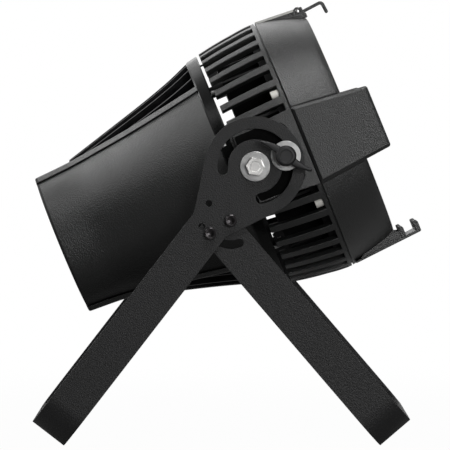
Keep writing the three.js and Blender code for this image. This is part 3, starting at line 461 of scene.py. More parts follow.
def skinned(bm, rows, capped=True, shut=()):
    """Walls between rows of points round a closed section, without the shut edges, and caps at the ends."""
    for a, b in zip(rows, rows[1:]):
        for i in (i for i in range(len(a)) if i not in shut):
            j = (i + 1) % len(a)
            bm.faces.new((a[i], a[j], b[j], b[i]))
    if capped:
        bm.faces.new(rows[0][::-1])
        bm.faces.new(rows[-1])
    return bm


def slab(bm, loops, low, high, at, edge=0.4, open_edges=()):
    """A plate with rounded edges. loops are an outline and its holes."""
    flats, walls = [], []
    for number, loop in enumerate(loops):
        loop = [tuple(p[:2]) for p in loop]
        shut = set(open_edges) if number == 0 else set()
        if (area(loop) < 0) != (number > 0):
            loop = loop[::-1]
            shut = {(len(loop) - 2 - i) % len(loop) for i in shut}
        levels = [(inset(loop, away, shut), low + depth) for away, depth in edge_levels(edge)]
        levels += [(points, low + high - level) for points, level in reversed(levels)]
        rows = [[bm.verts.new(at(*p, level)) for p in points] for points, level in levels]
        skinned(bm, rows, False, shut)
        flats.append([Vector((*p, 0)) for p in levels[0][0]])
        walls.append(rows)
    triangles = tessellate_polygon(flats)
    for end in (0, -1):
        verts = [vert for rows in walls for vert in rows[end]]
        for triangle in triangles:
            bm.faces.new([verts[i] for i in triangle])
    return bm


def spun(bm, rings, at, segments=64, closed=False):
    """A turned form: rings of (along, radius), where a radius may be a function of the angle."""
    rows = []
    for along, radius in rings:
        sized = radius if callable(radius) else lambda _: radius
        points = [(along, *polar(sized(a), a)) for a in evenly(0, 2 * pi, segments)[:-1]]
        if sized(0) < TINY:
            points = [(along, 0, 0)]
        rows.append([bm.verts.new(at(*point)) for point in points])
    pairs = list(zip(rows, rows[1:])) + ([(rows[-1], rows[0])] if closed else [])
    for a, b in pairs:
        for k in range(segments):
            j = (k + 1) % segments
            corners = [a[k % len(a)], a[j % len(a)], b[j % len(b)], b[k % len(b)]]
            unique = list(dict.fromkeys(corners))
            if len(unique) > 2:
                bm.faces.new(unique)
    return bm


def ring_sector(bm, profile, middle, reach, steps):
    """A closed (along, radius) outline turned round the beam axis, by reach to both sides of the middle."""
    rows = []
    for a in evenly(middle - reach, middle + reach, steps):
        rows.append([bm.verts.new((x, *polar(r, a))) for x, r in profile])
    skinned(bm, rows)


def to_mesh(bm, name):
    """The mesh of a bmesh, with double points merged and faces turned outwards."""
    bmesh.ops.remove_doubles(bm, verts=bm.verts, dist=1e-4)
    bmesh.ops.recalc_face_normals(bm, faces=bm.faces)
    mesh = bpy.data.meshes.new(name)
    bm.to_mesh(mesh)
    bm.free()
    return mesh


def box_tool(x0, x1, y0, y1, z0, z1):
    tool = bmesh.new()
    corners = [tool.verts.new((x, y, z)) for x in (x0, x1) for y in (y0, y1) for z in (z0, z1)]
    for face in ((0, 1, 3, 2), (4, 6, 7, 5), (0, 4, 5, 1), (2, 3, 7, 6), (0, 2, 6, 4), (1, 5, 7, 3)):
        tool.faces.new([corners[i] for i in face])
    return tool


def combined(base, tools, operation="DIFFERENCE"):
    """The mesh of base cut by or met with tools, each a bmesh in millimetres."""
    body = in_scene("base", to_mesh(base, "base"))
    helpers = [in_scene("tool", to_mesh(tool, "tool")) for tool in tools]
    for helper in helpers:
        modifier = body.modifiers.new("cut", "BOOLEAN")
        modifier.operation = operation
        modifier.solver = "MANIFOLD"
        modifier.object = helper
    bpy.context.view_layer.update()
    made = bpy.data.meshes.new_from_object(body.evaluated_get(bpy.context.evaluated_depsgraph_get()))
    for obj in [body, *helpers]:
        old = obj.data
        bpy.data.objects.remove(obj)
        bpy.data.meshes.remove(old)
    return made


# Large faces keep their own normal, so that only the rounded edges shade as curves
FLAT_FACES = ("WEIGHTED_NORMAL", {"mode": "FACE_AREA", "weight": 100, "keep_sharp": True})


def soft_edge(width):
    values = {"width": width / 1000, "segments": 2, "limit_method": "ANGLE", "angle_limit": radians(35)}
    return ("BEVEL", {**values, "harden_normals": True, "use_clamp_overlap": True})


def dress(mesh, material, angle):
    mesh.shade_smooth()
    mesh.set_sharp_from_angle(angle=radians(angle))
    mesh.materials.clear()
    mesh.materials.append(material)
    for polygon in mesh.polygons:
        polygon.material_index = 0


def finished(shape, name, material, stands_for=(), angle=40, place=HEAD, body="head", slot="", modifiers=()):
    """Puts a bmesh or mesh in its place as a piece of the light."""
    mesh = to_mesh(shape, name) if isinstance(shape, bmesh.types.BMesh) else shape
    mesh.transform(place)
    dress(mesh, material, angle)
    obj = in_scene(name, mesh)
    for kind, values in [*modifiers, FLAT_FACES]:
        modifier = obj.modifiers.new(kind.lower(), kind)
        for key, value in values.items():
            setattr(modifier, key, value)
    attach(obj, body)
    slot or SLOT_OF[material.name]
    if stands_for:
        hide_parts(*stands_for)


def turned(name, material, rings, at, segments=64, closed=False, **details):
    finished(spun(bmesh.new(), rings, at, segments, closed), name, material, **details)


def plate(name, material, loops, low, high, at, edge=0.4, **details):
    finished(slab(bmesh.new(), loops, low, high, at, edge), name, material, **details)


# Yokes, bent from flat bar with the arms' plates in one sheet with it

BAR_HALF, BAR_EDGE, SHEET = 20.3, 0.45, 3.0
BEND, BEND_STEPS, CROSSBAR_FLAT = 37.0, 14, 40.0
ARM_OUTER, STAND_OUTER = 150.0, 146.7
ARM_INNER, STAND_INNER = ARM_OUTER - SHEET, STAND_OUTER - SHEET
YOKE_LENGTH, STAND_LENGTH = 346.3, 275.6
PLATE_END, EYE, TAPER, TAPER_ROUND = 101.7, 50.8, 75.0, 3
STUD_RADIUS, STUD_DROP = 33.0, radians(3)
STUD = polar(STUD_RADIUS, -STUD_DROP)
TILT_BACK, TILT_ON = radians(99), radians(166)
LOCK_SLOT, CLAMP_SLOT = 10.8, 8.6
BAR_HOLE, M10_HOLE, M8_HOLE, M6_HOLE = 6.5, 5.3, 4.3, 3.3
STAND_TOP, STAND_ROUND = 16, 9


def bent_bar(bm, outer_half, top, length, middle):
    """A U of flat bar from both arms at height top, with the bolt hole in the middle of the crossbar."""
    quarter = [(BAR_HALF - away, depth) for away, depth in edge_levels(BAR_EDGE)]
    half_section = quarter + [(x, SHEET - depth) for x, depth in reversed(quarter)]
    section = half_section + [(-x, depth) for x, depth in reversed(half_section)]
    low = BEND - length
    path = [((-outer_half, top), (1, 0)), ((-outer_half, low), (1, 0))]
    for a in evenly(pi, 1.5 * pi, BEND_STEPS)[1:]:
        path.append(((-outer_half + BEND + BEND * cos(a), low + BEND * sin(a)), (-cos(a), -sin(a))))
    path.append(((-CROSSBAR_FLAT, -length), (0, 1)))
    other = [((-y, z), (-across, up)) for (y, z), (across, up) in reversed(path)]
    for half in (path, other):
        rows = []
        for (y, z), (across, up) in half:
            rows.append([bm.verts.new((middle + x, y + across * t, z + up * t)) for x, t in section])
        skinned(bm, rows, False)
    crossbar = rectangle(middle - BAR_HALF, middle + BAR_HALF, -CROSSBAR_FLAT, CROSSBAR_FLAT)
    slab(bm, [crossbar, circle(middle, 0, BAR_HOLE)], -length, SHEET - length, in_xy, BAR_EDGE, (0, 2))


bm = bmesh.new()
touch = atan2(-TAPER, BAR_HALF) + acos(EYE / hypot(BAR_HALF, TAPER))
eye_outline = fillet(
    [(BAR_HALF, -PLATE_END, 0), (BAR_HALF, -TAPER, TAPER_ROUND)]
    + [(*p, 0) for p in arc(0, 0, EYE, touch, pi - touch, 72)]
    + [(-BAR_HALF, -TAPER, TAPER_ROUND), (-BAR_HALF, -PLATE_END, 0)],
    0,
)
stud_rest = ELEVATION - STUD_DROP + LEAN
lock_slot = arc_slot(STUD_RADIUS, LOCK_SLOT, stud_rest - TILT_BACK, stud_rest + TILT_ON)
eye_holes = [circle(0, 0, M10_HOLE), lock_slot]
for way, radius in ((1, M8_HOLE), (-1, M6_HOLE)):
    eye_holes += [circle(way * hole.x, hole.z, radius) for hole in (FOLD_PIN, FOLD_CLAMP)]
for side, _ in SIDES:
    open_edge = len(eye_outline) - 1
    slab(bm, [eye_outline, *eye_holes], ARM_INNER, ARM_OUTER, in_xz(side), BAR_EDGE, (open_edge,))
bent_bar(bm, ARM_OUTER, -PLATE_END, YOKE_LENGTH, 0)
finished(bm, "yoke_bar", BAR, ["main_yoke"], place=YOKE, body="yoke")

bm = bmesh.new()
drop = PLATE_END + FOLD_PIN.z
clamp_arm = FOLD_CLAMP - FOLD_PIN
clamp_folded = atan2(clamp_arm.z, clamp_arm.x)
clamp_slot = arc_slot(clamp_arm.length, CLAMP_SLOT, clamp_folded - LEAN - STAND_LEAN, clamp_folded, 24)
stand_plate = rectangle(-FOLD_PIN.x - BAR_HALF, -FOLD_PIN.x + BAR_HALF, -drop, STAND_TOP)
stand_outline = fillet([(*p, STAND_ROUND if p[1] > 0 else 0) for p in stand_plate], 0, 8)
for side, _ in SIDES:
    loops = [stand_outline, circle(0, 0, M8_HOLE), clamp_slot]
    slab(bm, loops, STAND_INNER, STAND_OUTER, in_xz(side), BAR_EDGE, (0,))
bent_bar(bm, STAND_OUTER, -drop, STAND_LENGTH, -FOLD_PIN.x)
finished(bm, "stand_bar", BAR, ["stand_yoke"], place=STAND, body="stand")

# Fasteners


def socket_screw(bm, at, seat, tall, across, socket, deep, shank_end, shank):
    """A screw with a low domed head and a hexagon socket."""
    crown, top = across / 2, seat + tall
    rings = [
        (shank_end, 0), (shank_end, shank / 2 - 0.5), (shank_end + 0.5, shank / 2), (seat, shank / 2),
        (seat, crown - 0.3), (seat + 0.3, crown), (top - 1.1, crown), (top - 0.45, crown - 0.2),
        (top, crown - 0.9), (top, socket / 2 + 0.95), (top - 0.35, hexagon(socket)),
        (top - deep, hexagon(socket)), (top - deep - 1.0, 0),
    ]
    return spun(bm, rings, at, 48)


def hex_bolt(bm, at, seat, tall, across_flats, shank_end, shank):
    """A bolt whose hexagon head is chamfered, with a round dimple in its top."""
    hexed = hexagon(across_flats)
    chamfer = across_flats / 2 * 1.07
    top = seat + tall

    def wall_top(angle):
        return top - max(0.15, hexed(angle) - chamfer) * tan(radians(30))

    def top_edge(angle):
        return min(hexed(angle) - 0.25, chamfer)

    angles = evenly(0, 2 * pi, 72)[:-1]
    rows = [[at(level(a), *polar(hexed(a), a)) for a in angles] for level in (lambda _: seat, wall_top)]
    for share, sink in ((1, 0.0), (0.93, 0.02), (0.62, 0.05), (0.58, 0.35)):
        rows.append([at(top - sink, *polar(share * top_edge(a), a)) for a in angles])
    skinned(bm, [[bm.verts.new(point) for point in row] for row in rows])
    return spun(bm, fillet(solid(seat, shank_end, shank / 2), 0.35, 2), at, 32, True)


def washer(name, material, at, low, high, outer, node):
    turned(name, material, fillet(tube(low, high, M10_HOLE, outer), 0.5), at, 72, True, stands_for=[node])


def nut_wall(angle):
    return min(hexagon(NUT_FLATS)(angle), NUT_CORNER)


BOSS_FACE = 140.5
SCREW_SEAT = ARM_OUTER + 0.3
WASHER_LOW, WASHER_HIGH, WASHER_RADIUS = SCREW_SEAT, 152.1, 15.25
BUSH_LOW, BOLT_SEAT, SHANK_END, STUD_END = 140.8, 152.4, 124.8, 166.1
PIVOT_BUSH, LOCK_BUSH = 13, 8.5
PAD_REAR, PAD_FRONT, PAD_HALF, PAD_ROUND = -8.6, 46, 35.5, 16
NUT_LOW, NUT_HIGH, NUT_FLATS, NUT_CORNER, NUT_FACE = 139.4, 143.4, 13, 7.2, 6.2
NUT = [
    (NUT_HIGH, M8_HOLE), (NUT_HIGH, NUT_FACE), (NUT_HIGH - 0.2, nut_wall),
    (NUT_LOW + 0.4, nut_wall), (NUT_LOW, NUT_FACE), (NUT_LOW, M8_HOLE),
]
FOLD_SCREWS = (("pin", "fold_pin", FOLD_PIN, 1.0), ("clamp", "fold_clamp_screw", FOLD_CLAMP, 4.3))
for side, name in SIDES:
    on_yoke = {"place": YOKE, "body": "yoke", "angle": 30}
    for piece, node, at, deeper in FOLD_SCREWS:
        bm = socket_screw(bmesh.new(), on_side(at.x, at.z, side), SCREW_SEAT, tall=5.2, across=12.4,
                          socket=6, deep=3, shank_end=STAND_INNER - deeper, shank=8)
        finished(bm, f"fold_{piece}_{name}", STEEL, [f"{node}_{name}"], **on_yoke)
    turned(f"clamp_nut_{name}", STEEL, NUT, on_side(FOLD_CLAMP.x, FOLD_CLAMP.z, side), 48, True,
           stands_for=[f"fold_clamp_nut_{name}"], **on_yoke)
    axes = {"pivot": on_side(0, 0, side), "lock": on_side(*STUD, side)}
    for piece, at in axes.items():
        washer(f"washer_{piece}_{name}", ZINC, at, WASHER_LOW, WASHER_HIGH, WASHER_RADIUS,
               f"{piece}_washer_{name}")
    bm = hex_bolt(bmesh.new(), axes["pivot"], BOLT_SEAT, tall=6.4, across_flats=17,
                  shank_end=SHANK_END, shank=10)
    finished(bm, f"bolt_pivot_{name}", BRIGHT, [f"pivot_bolt_{name}"], 25)
    stud = [(SHANK_END, 0), (SHANK_END, 4.4), (SHANK_END + 0.6, 5)]
    stud += [(STUD_END - 0.7, 5), (STUD_END, 4.2), (STUD_END, 0)]
    turned(f"stud_{name}", ZINC, stud, axes["lock"], 32, stands_for=[f"lock_stud_{name}"])
    for (piece, at), outer in zip(axes.items(), (PIVOT_BUSH, LOCK_BUSH)):
        washer(f"bush_{piece}_{name}", PLASTIC, at, BUSH_LOW, STAND_OUTER, outer, f"{piece}_bush_{name}")

    # Painted shade: a black pad on the head's boss, seen through the eye's slot, darkens the slot as shade
    # would
    corners = rectangle(PAD_REAR, PAD_FRONT, -PAD_HALF, PAD_HALF)
    pad = fillet([(*p, PAD_ROUND if p[0] > 0 else 3) for p in corners], 3, 6)
    plate(f"shade_pad_{name}", SHADE_PAD_BLACK, [pad, circle(0, 0, PIVOT_BUSH + 1), circle(*STUD, LOCK_BUSH + 1)],
          BOSS_FACE + 0.05, BOSS_FACE + 0.9, in_xz(side), 0.3)

# Wing knobs

WING_REACH, WING_ROOT, WING_TIP, WING_SWEEP = 30.0, 4.6, 1.7, 2.5
WING_LOW, WING_HIGH, REST_TURN = 8.4, 17.0, radians(52)
KNOB_FOOT = WASHER_HIGH + 0.3
KNOB_TOP = KNOB_FOOT + 19.9

tip_x = WING_REACH - WING_TIP
wing = (
    quadratic((0, -WING_ROOT), (WING_REACH / 2, -WING_ROOT - WING_SWEEP), (tip_x, -WING_TIP), 14)[:-1]
    + arc(tip_x, 0, WING_TIP, -pi / 2, pi / 2, 12)[:-1]
    + quadratic((tip_x, WING_TIP), (WING_REACH / 2, WING_SWEEP - WING_TIP), (0, WING_ROOT), 14)
)
knob = fillet(
    [
        (KNOB_FOOT, 5.3, 0.2), (KNOB_FOOT, 9.6, 0.5), (KNOB_FOOT + 1.6, 10.5, 0.6),
        (KNOB_TOP - 3.2, 10.5, 0.6), (KNOB_TOP - 2.4, 9.6, 0.4), (KNOB_TOP, 8.9, 1.2),
        (KNOB_TOP, 6.4, 0.3), (KNOB_TOP - 0.7, 5.9, 0.2), (KNOB_TOP - 0.7, 0, 0),
        (KNOB_FOOT + 14.4, 0, 0), (KNOB_FOOT + 14.4, 5.3, 0.2),
    ],
    0.3,
)
for side, name in SIDES:
    bm = spun(bmesh.new(), knob, on_side(*STUD, side), 72, True)
    # A turn about +Y takes x towards -z, so the outline turns the other way in (x, z)
    for turn in (-REST_TURN, -REST_TURN - pi):
        outline = [(STUD[0] + x, STUD[1] + z) for x, z in (turned_point(*p, turn) for p in wing)]
        slab(bm, [outline], KNOB_FOOT + WING_LOW, KNOB_FOOT + WING_HIGH, in_xz(side), 1.5)
    finished(bm, f"knob_{name}", PLASTIC, [f"wing_knob_{name}"], 50, body=f"knob_{name}")

# Rear shell, which hangs a little lower at its rear, and whose last stretch is a dark rounded rim

SHELL_REAR, SHELL_FRONT, SHELL_WALL = -218.0, -25.0, 3.0
REAR_RADIUS, FRONT_RADIUS, FRONT_EDGE = 73.5, 124.7, 98.8
STATIONS = [0, 0.18, 0.4, 0.56, 0.8, 1]
RADIUS_RISE = [0, 0.036, 0.242, 0.45, 0.765, 1]
EDGE_RISE = [0, 0.085, 0.277, 0.435, 0.727, 1]
REAR_ROUND, REAR_DROP, RIM_END = 2.0, 3.0, SHELL_REAR + 2.8
# Across and up from the cheek's arc: the rolled lip along its top and bottom edge
LIP = [(0.9, 0.2), (1.5, 0.8), (1.4, 1.4), (-3.4, 4.6), (-4.6, 5.3), (-6.0, 5.9)]
LIP_TALL = LIP[-1][1]
shell_stations = evenly(SHELL_REAR, SHELL_FRONT, 44)


def along_shell(x):
    """The shell's outer radius at its sides, and the height of its cheeks' edges."""
    share = (x - SHELL_REAR) / (SHELL_FRONT - SHELL_REAR)
    radius = REAR_RADIUS + between(STATIONS, RADIUS_RISE, share) * (FRONT_RADIUS - REAR_RADIUS)
    edge = REAR_RADIUS + between(STATIONS, EDGE_RISE, share) * (FRONT_EDGE - REAR_RADIUS)
    return radius, edge


def shell_ring(radius, edge):
    reach = asin(min(1, (edge - LIP_TALL) / radius))
    cheek = arc(0, 0, radius, -reach, reach, 36)
    y, z = cheek[-1]
    lip = [(y + out, z + up) for out, up in LIP]
    half = [(y, -z) for y, z in reversed(lip)] + cheek + lip
    return half + [(-y, -z) for y, z in half]


def shell_piece(name, material, places, angle=38, **details):
    """A stretch of the shell between places of (x, how far it is drawn in), with its cavity cut out."""
    rows = []
    shell = bmesh.new()
    for x, drawn_in in places:
        radius, edge = along_shell(x)
        droop = 1 + REAR_DROP * (SHELL_FRONT - x) / (SHELL_FRONT - SHELL_REAR) / edge
        ring = shell_ring(radius - drawn_in, edge - drawn_in)
        rows.append([shell.verts.new((x, y, z * droop if z < 0 else z)) for y, z in ring])
    skinned(shell, rows)
    cavity = [(SHELL_REAR - 2, 0), (SHELL_REAR - 2, REAR_RADIUS - SHELL_WALL)]
    cavity += [(x, along_shell(x)[0] - SHELL_WALL) for x in shell_stations]
    cavity += [(SHELL_FRONT + 2, FRONT_RADIUS - SHELL_WALL), (SHELL_FRONT + 2, 0)]
    mesh = combined(shell, [spun(bmesh.new(), cavity, on_beam(), 128)])
    finished(mesh, name, material, angle=angle, **details)


rim = [(SHELL_REAR + REAR_ROUND * (1 - cos(a)), REAR_ROUND * (1 - sin(a))) for a in (0, 0.4, 0.8, 1.2)]
shell_piece("housing_rim", RUBBER, [*rim, (RIM_END, 0)], slot="housing_paint")
shell_piece("housing_shell", SHELL_COAT_SHADED_BELOW, [(RIM_END, 0), *[(x, 0) for x in shell_stations if x > RIM_END]],
            stands_for=["rear_housing"], modifiers=[soft_edge(0.3)])

# Radial fins above and below the shell, whose tops rise from the shell's rear to the hoop

FIN_COUNT, FIN_PITCH, FIN_HALF = 7, radians(10), 0.9
FIN_REAR, FIN_FRONT = -178.0, -26.6
FIN_SHARES = [0, 0.3, 0.65, 0.85, 1]
FIN_RISE = [78.0, 90.6, 105.6, 115.4, 124.4]
DECK_LOW, DECK_TALL, DECK_REAR, DECK_NARROW, DECK_WIDE = 57.0, 4.0, -150, 18, 62
DECK = [(DECK_REAR, -DECK_NARROW), (FIN_FRONT, -DECK_WIDE), (FIN_FRONT, DECK_WIDE), (DECK_REAR, DECK_NARROW)]
fin_places = [FIN_REAR + share * (FIN_FRONT - FIN_REAR) for share in FIN_SHARES]
blade = [(x, between(fin_places, FIN_RISE, x)) for x in reversed(evenly(FIN_REAR, FIN_FRONT, 40))]
for side, name in ((1, "upper"), (-1, "lower")):
    bm = bmesh.new()
    for k in range(FIN_COUNT):
        lean = (k - (FIN_COUNT - 1) / 2) * FIN_PITCH
        clear = [(x, r) for x, r in blade if r * cos(lean) > along_shell(x)[1] - 2]
        outline = [(clear[-1][0], DECK_LOW), (FIN_FRONT, DECK_LOW), *clear]
        slab(bm, [outline], -FIN_HALF, FIN_HALF, on_blade(lean, side), 0.3)
    slab(bm, [DECK], side * DECK_LOW, side * (DECK_LOW + DECK_TALL), in_xy)
    finished(bm, f"fins_{name}", EDGED, [f"heat_fins_{name}"], 35)

# Hoop in front of the fins, and the two tongues under it at the sides

HOOP_REAR, HOOP_FRONT, HOOP_RADIUS, HOOP_DEEP = -26.3, -13.2, 128.2, 6.0
TONGUE_REAR, TONGUE_FRONT, TONGUE_LOW, TONGUE_HALF, TONGUE_RADIUS = -26, -10.5, 119, 43.0, 125.5
hoop = [
    (HOOP_REAR, HOOP_RADIUS - HOOP_DEEP, 0.4), (HOOP_REAR, 124.4, 0.6), (HOOP_REAR + 1.6, 125.9, 1.2),
    (HOOP_FRONT, HOOP_RADIUS, 1.1), (HOOP_FRONT, HOOP_RADIUS - HOOP_DEEP, 0.6),
]
turned("housing_hoop", HOOP_COAT, fillet(hoop, 0.5, 4), on_beam(), 180, True)
tongue = [(TONGUE_REAR, TONGUE_LOW), (TONGUE_REAR, 124.4), (TONGUE_FRONT, 127.9), (TONGUE_FRONT, TONGUE_LOW)]
bm = bmesh.new()
for middle in (0, pi):
    ring_sector(bm, fillet(tongue, 0.5, 2), middle, asin(TONGUE_HALF / TONGUE_RADIUS), 36)
finished(bm, "housing_tongues", HOUSING, modifiers=[soft_edge(0.6)])

# Drum inside the ribs that hides the heat sink, with windows round the yoke's eyes

DRUM_RADIUS, DRUM_WALL, DRUM_REAR, DRUM_FRONT, DRUM_STEP = 118.0, 2.0, -13.4, 1.2, -9.8
DRUM_REACH = 130
# Along the beam from and to, up from and to on the near side, and how far lower the far side's window
# starts, so that both lie in one line of sight
DRUM_WINDOWS = [
    (DRUM_REAR - 1, DRUM_STEP, 92, 130, 0),
    (DRUM_REAR - 1, DRUM_STEP, -44, 81, 5),
    (DRUM_REAR - 1, DRUM_FRONT - 0.8, 44, 77.8, 5),
    (-9.4, DRUM_FRONT - 0.8, -64.5, -48, 5),
    (-10.8, -8.4, -76, -70, 5),
    (-6.6, -2.4, -80.5, -76.5, 5),
    (-9.8, -3.2, -95.5, -91, 5),
]
drum = tube(DRUM_REAR, DRUM_FRONT, DRUM_RADIUS - DRUM_WALL, DRUM_RADIUS)
tools = []
for low_x, high_x, low_z, high_z, sink in DRUM_WINDOWS:
    tools.append(box_tool(low_x, high_x, -DRUM_REACH, -2, low_z, high_z))
    tools.append(box_tool(low_x, high_x, 2, DRUM_REACH, low_z - sink, high_z))
finished(combined(spun(bmesh.new(), drum, on_beam(), 160, True), tools), "drum", FIN, angle=38)

POST_PLACE, POST_RADIUS = 120.6, 2.2
post = fillet(solid(DRUM_REAR + 0.4, DRUM_FRONT, POST_RADIUS), 0.4, 2)
bm = bmesh.new()
for angle in (radians(a) for a in (45, 135, 225, 315)):
    spun(bm, post, on_beam(*polar(POST_PLACE, angle)), 24)
finished(bm, "cage_posts", ZINC)

# Small screws that hold the hoop's tongues, seen through the slot in the yoke's eye
TONGUE_FACE, TONGUE_SCREW_X, TONGUE_SCREW_UP = 125.9, -21.0, 32
rise = asin(TONGUE_SCREW_UP / TONGUE_FACE)
screw = fillet([(-1.5, 0, 0), (-1.5, 2.9, 0), (0.3, 2.9, 0.3), (1.3, 2.0, 0.8), (1.6, 0, 0)], 0.2)
bm = bmesh.new()
for side, _ in SIDES:
    def on_tongue(along, p, q):
        y, z = turned_point(TONGUE_FACE + along, q, rise)
        return TONGUE_SCREW_X + p, side * y, z

    spun(bm, screw, on_tongue, 28)
finished(bm, "tongue_screws", ZINC)

# Rib cage, whose ribs leave the bosses free

CAGE_REAR, SEAM = -10.2, 55.5
CAGE_PLACES = [CAGE_REAR, 7.4, 23.4, 51.1, SEAM]
CAGE_RADII = [129.2, 132.4, 134.6, 137.2, 137.2]
RIB_DEEP, SLOT, PITCH = 6.5, 13.0, radians(9)
FIRST_RIB, LAST_RIB = 2, 17
RING_REAR, RING_FRONT, RING_LOW = SEAM - 4.4, SEAM - 0.3, 116
BOSS_REAR, BOSS_LOW, BOSS_REACH = -9.6, 121.5, radians(17)
END_INSET, END_LENGTH = 0.7, 0.35

ring = [(RING_REAR, RING_LOW), (RING_REAR, 137.05, 0.3), (RING_FRONT, 137.15, 0.6), (RING_FRONT, RING_LOW)]
bm = spun(bmesh.new(), fillet(ring, 0.4), on_beam(), 192, True)
rib_stations = evenly(CAGE_REAR, RING_REAR + 1, 14)
rib_places = [(CAGE_REAR, END_INSET), (CAGE_REAR + END_LENGTH, 0), *[(x, 0) for x in rib_stations[1:]]]
for angle in (half + (n + 0.5) * PITCH for half in (0, pi) for n in range(FIRST_RIB, LAST_RIB + 1)):
    rows = []
    for x, shrink in rib_places:
        outer = between(CAGE_PLACES, CAGE_RADII, x) - shrink
        inner = outer - RIB_DEEP + 2 * shrink
        wide_out, wide_in = (r * tan(PITCH / 2) - SLOT / 2 - shrink * 0.6 for r in (outer, inner))
        section = fillet([(wide_in, inner), (wide_out, outer), (-wide_out, outer), (-wide_in, inner)], 0.9)
        rows.append([bm.verts.new((x, *turned_point(r, w, angle))) for w, r in section])
    skinned(bm, rows)
finished(bm, "cage_ribs", HOUSING, ["rib_cage"], 35)

bm = bmesh.new()
boss = fillet([(BOSS_REAR, -36.5), (RING_FRONT, -41.5), (RING_FRONT, 41.5), (BOSS_REAR, 36.5)], 1)
for side, _ in SIDES:
    slab(bm, [boss, circle(0, 0, M10_HOLE), circle(*STUD, M10_HOLE)], BOSS_LOW, BOSS_FACE, in_xz(side), 0.6)
root = [(CAGE_REAR, 122.7), (CAGE_REAR, 129.2), (23.4, 134.6), (RING_REAR + 1, 137.1), (RING_REAR + 1, 130)]
for middle in (0, pi):
    ring_sector(bm, fillet(root, 0.6, 2), middle, BOSS_REACH, 24)
finished(bm, "cage_bosses", HOUSING)

# Screws in the middle of the slots that are nearest to six even places, each in a round spacer
CAGE_SCREW_PLACE, CAGE_SCREW_ANGLES = 130.0, (27, 90, 153, 207, 270, 333)
SPACER_REAR, SPACER_FRONT = RING_REAR - 8.7, RING_REAR - 0.3
spacer = fillet(tube(SPACER_REAR, SPACER_FRONT, 3.9, 5.0), 0.4)
spacers = bmesh.new()
for k, angle in enumerate(radians(a) for a in CAGE_SCREW_ANGLES):
    place = polar(CAGE_SCREW_PLACE, angle)
    spun(spacers, spacer, on_beam(*place), 48, True)
    bm = socket_screw(bmesh.new(), on_beam(*place, -1), -SPACER_FRONT, tall=8, across=7.6,
                      socket=4, deep=2.2, shank_end=-(SEAM + 3), shank=4)
    finished(bm, f"screw_cage_{k + 1}", BRIGHT, [f"cage_screw_{k + 1}"], 30)
finished(spacers, "cage_spacers", DULL)

# Bezel, glass and optics

BEZEL_FRONT, BEZEL_WALL, BEZEL_SHELF = 109.0, 3.2, 105.0
BEZEL_PLACES = [SEAM + share * (BEZEL_FRONT - SEAM) for share in (0, 0.25, 0.68, 0.9, 1)]
BEZEL_RADII = [137.0, 134.4, 128.8, 124.6, 121.2]
GLASS_REAR, GLASS_FRONT, GLASS_RADIUS, SEAL_REAR, SEAL_FRONT = 98.0, 100.7, 116.8, 101.0, 104.7


def bezel_radius(x):
    return between(BEZEL_PLACES, BEZEL_RADII, x)


bezel = [(SEAM, 134.6), (SEAM + 1.0, 134.6), (SEAM + 1.1, 136.3), (SEAM + 1.5, 136.8)]
bezel += [(x, bezel_radius(x)) for x in evenly(SEAM + 2, BEZEL_FRONT - 1.8, 26)]
bezel += [(BEZEL_FRONT - 0.9, 121.9), (BEZEL_FRONT - 0.3, 120.9), (BEZEL_FRONT, 119.6)]
bezel += [(BEZEL_FRONT, 109.4), (BEZEL_FRONT - 0.35, 108.5), (BEZEL_FRONT - 1.2, 108.0)]
bezel += [(BEZEL_SHELF, 108.0)]
bezel += [(x, bezel_radius(x) - BEZEL_WALL) for x in (BEZEL_SHELF, 100.0, 92.0, 84.0, 76.0, 68.0, 59.9)]
bezel += [(59.9, 118.0), (SEAM, 118.0)]
turned("bezel_ring", HOUSING, bezel, on_beam(), 224, True, stands_for=["front_bezel"], angle=32)
pane = fillet(solid(GLASS_REAR, GLASS_FRONT, GLASS_RADIUS), 0.5)
turned("glass_pane", CLEAR, pane, on_beam(), 128, True, stands_for=["front_glass"])
seal = fillet(tube(SEAL_REAR, SEAL_FRONT, 109.5, 118.6), 1.2, 4)
turned("glass_seal", RUBBER, seal, on_beam(), 128, True)

LENS_PITCH, LENS_REAR, LENS_MOUTH, LENS_HOLE = 42.4, 54.9, 74.6, 19.6
LED_PLACE, LED_HALF, LED_LOW, LED_HIGH = 1.7, 1.45, 54.1, 54.7
LENSES = [(0.0, 0.0)]
for ring in (1, 2):
    for corner in range(6):
        a, b = (Vector(polar(LENS_PITCH * ring, k * pi / 3 + pi / 6)) for k in (corner, corner + 1))
        LENSES += [tuple(a.lerp(b, step / ring)) for step in range(ring)]

lens = [(LENS_REAR, 0), (LENS_REAR, 6.9), (55.3, 7.4)]
lens += [(55.3 + (LENS_MOUTH - 57.3) * t, 7.4 + 11.4 * t**0.72) for t in evenly(0, 1, 10)[1:]]
lens += [(LENS_MOUTH - 1.9, 19.0)]
lens += [(LENS_MOUTH + 0.4 - 2.6 * t**2, 18.6 * t) for t in evenly(1, 0, 8)]
cell = [(LENS_MOUTH - 2.2, 19.3), (LENS_MOUTH - 2.2, 20.9), (LENS_MOUTH, 20.4), (LENS_MOUTH, 19.3)]
cluster, holder, chips = bmesh.new(), bmesh.new(), bmesh.new()
loops = [circle(0, 0, 113, 128), *[circle(y, z, LENS_HOLE, 40) for y, z in LENSES]]
slab(holder, loops, LENS_MOUTH - 4.5, LENS_MOUTH - 1.5, in_yz, 0.5)
for y, z in LENSES:
    spun(cluster, lens, on_beam(y, z), 48)
    spun(holder, fillet(cell, 0.3, 2), on_beam(y, z), 48, True)
    for dy in (y - LED_PLACE, y + LED_PLACE):
        for dz in (z - LED_PLACE, z + LED_PLACE):
            outline = rectangle(dy - LED_HALF, dy + LED_HALF, dz - LED_HALF, dz + LED_HALF)
            slab(chips, [fillet(outline, 0.4, 2)], LED_LOW, LED_HIGH, in_yz, 0.2)
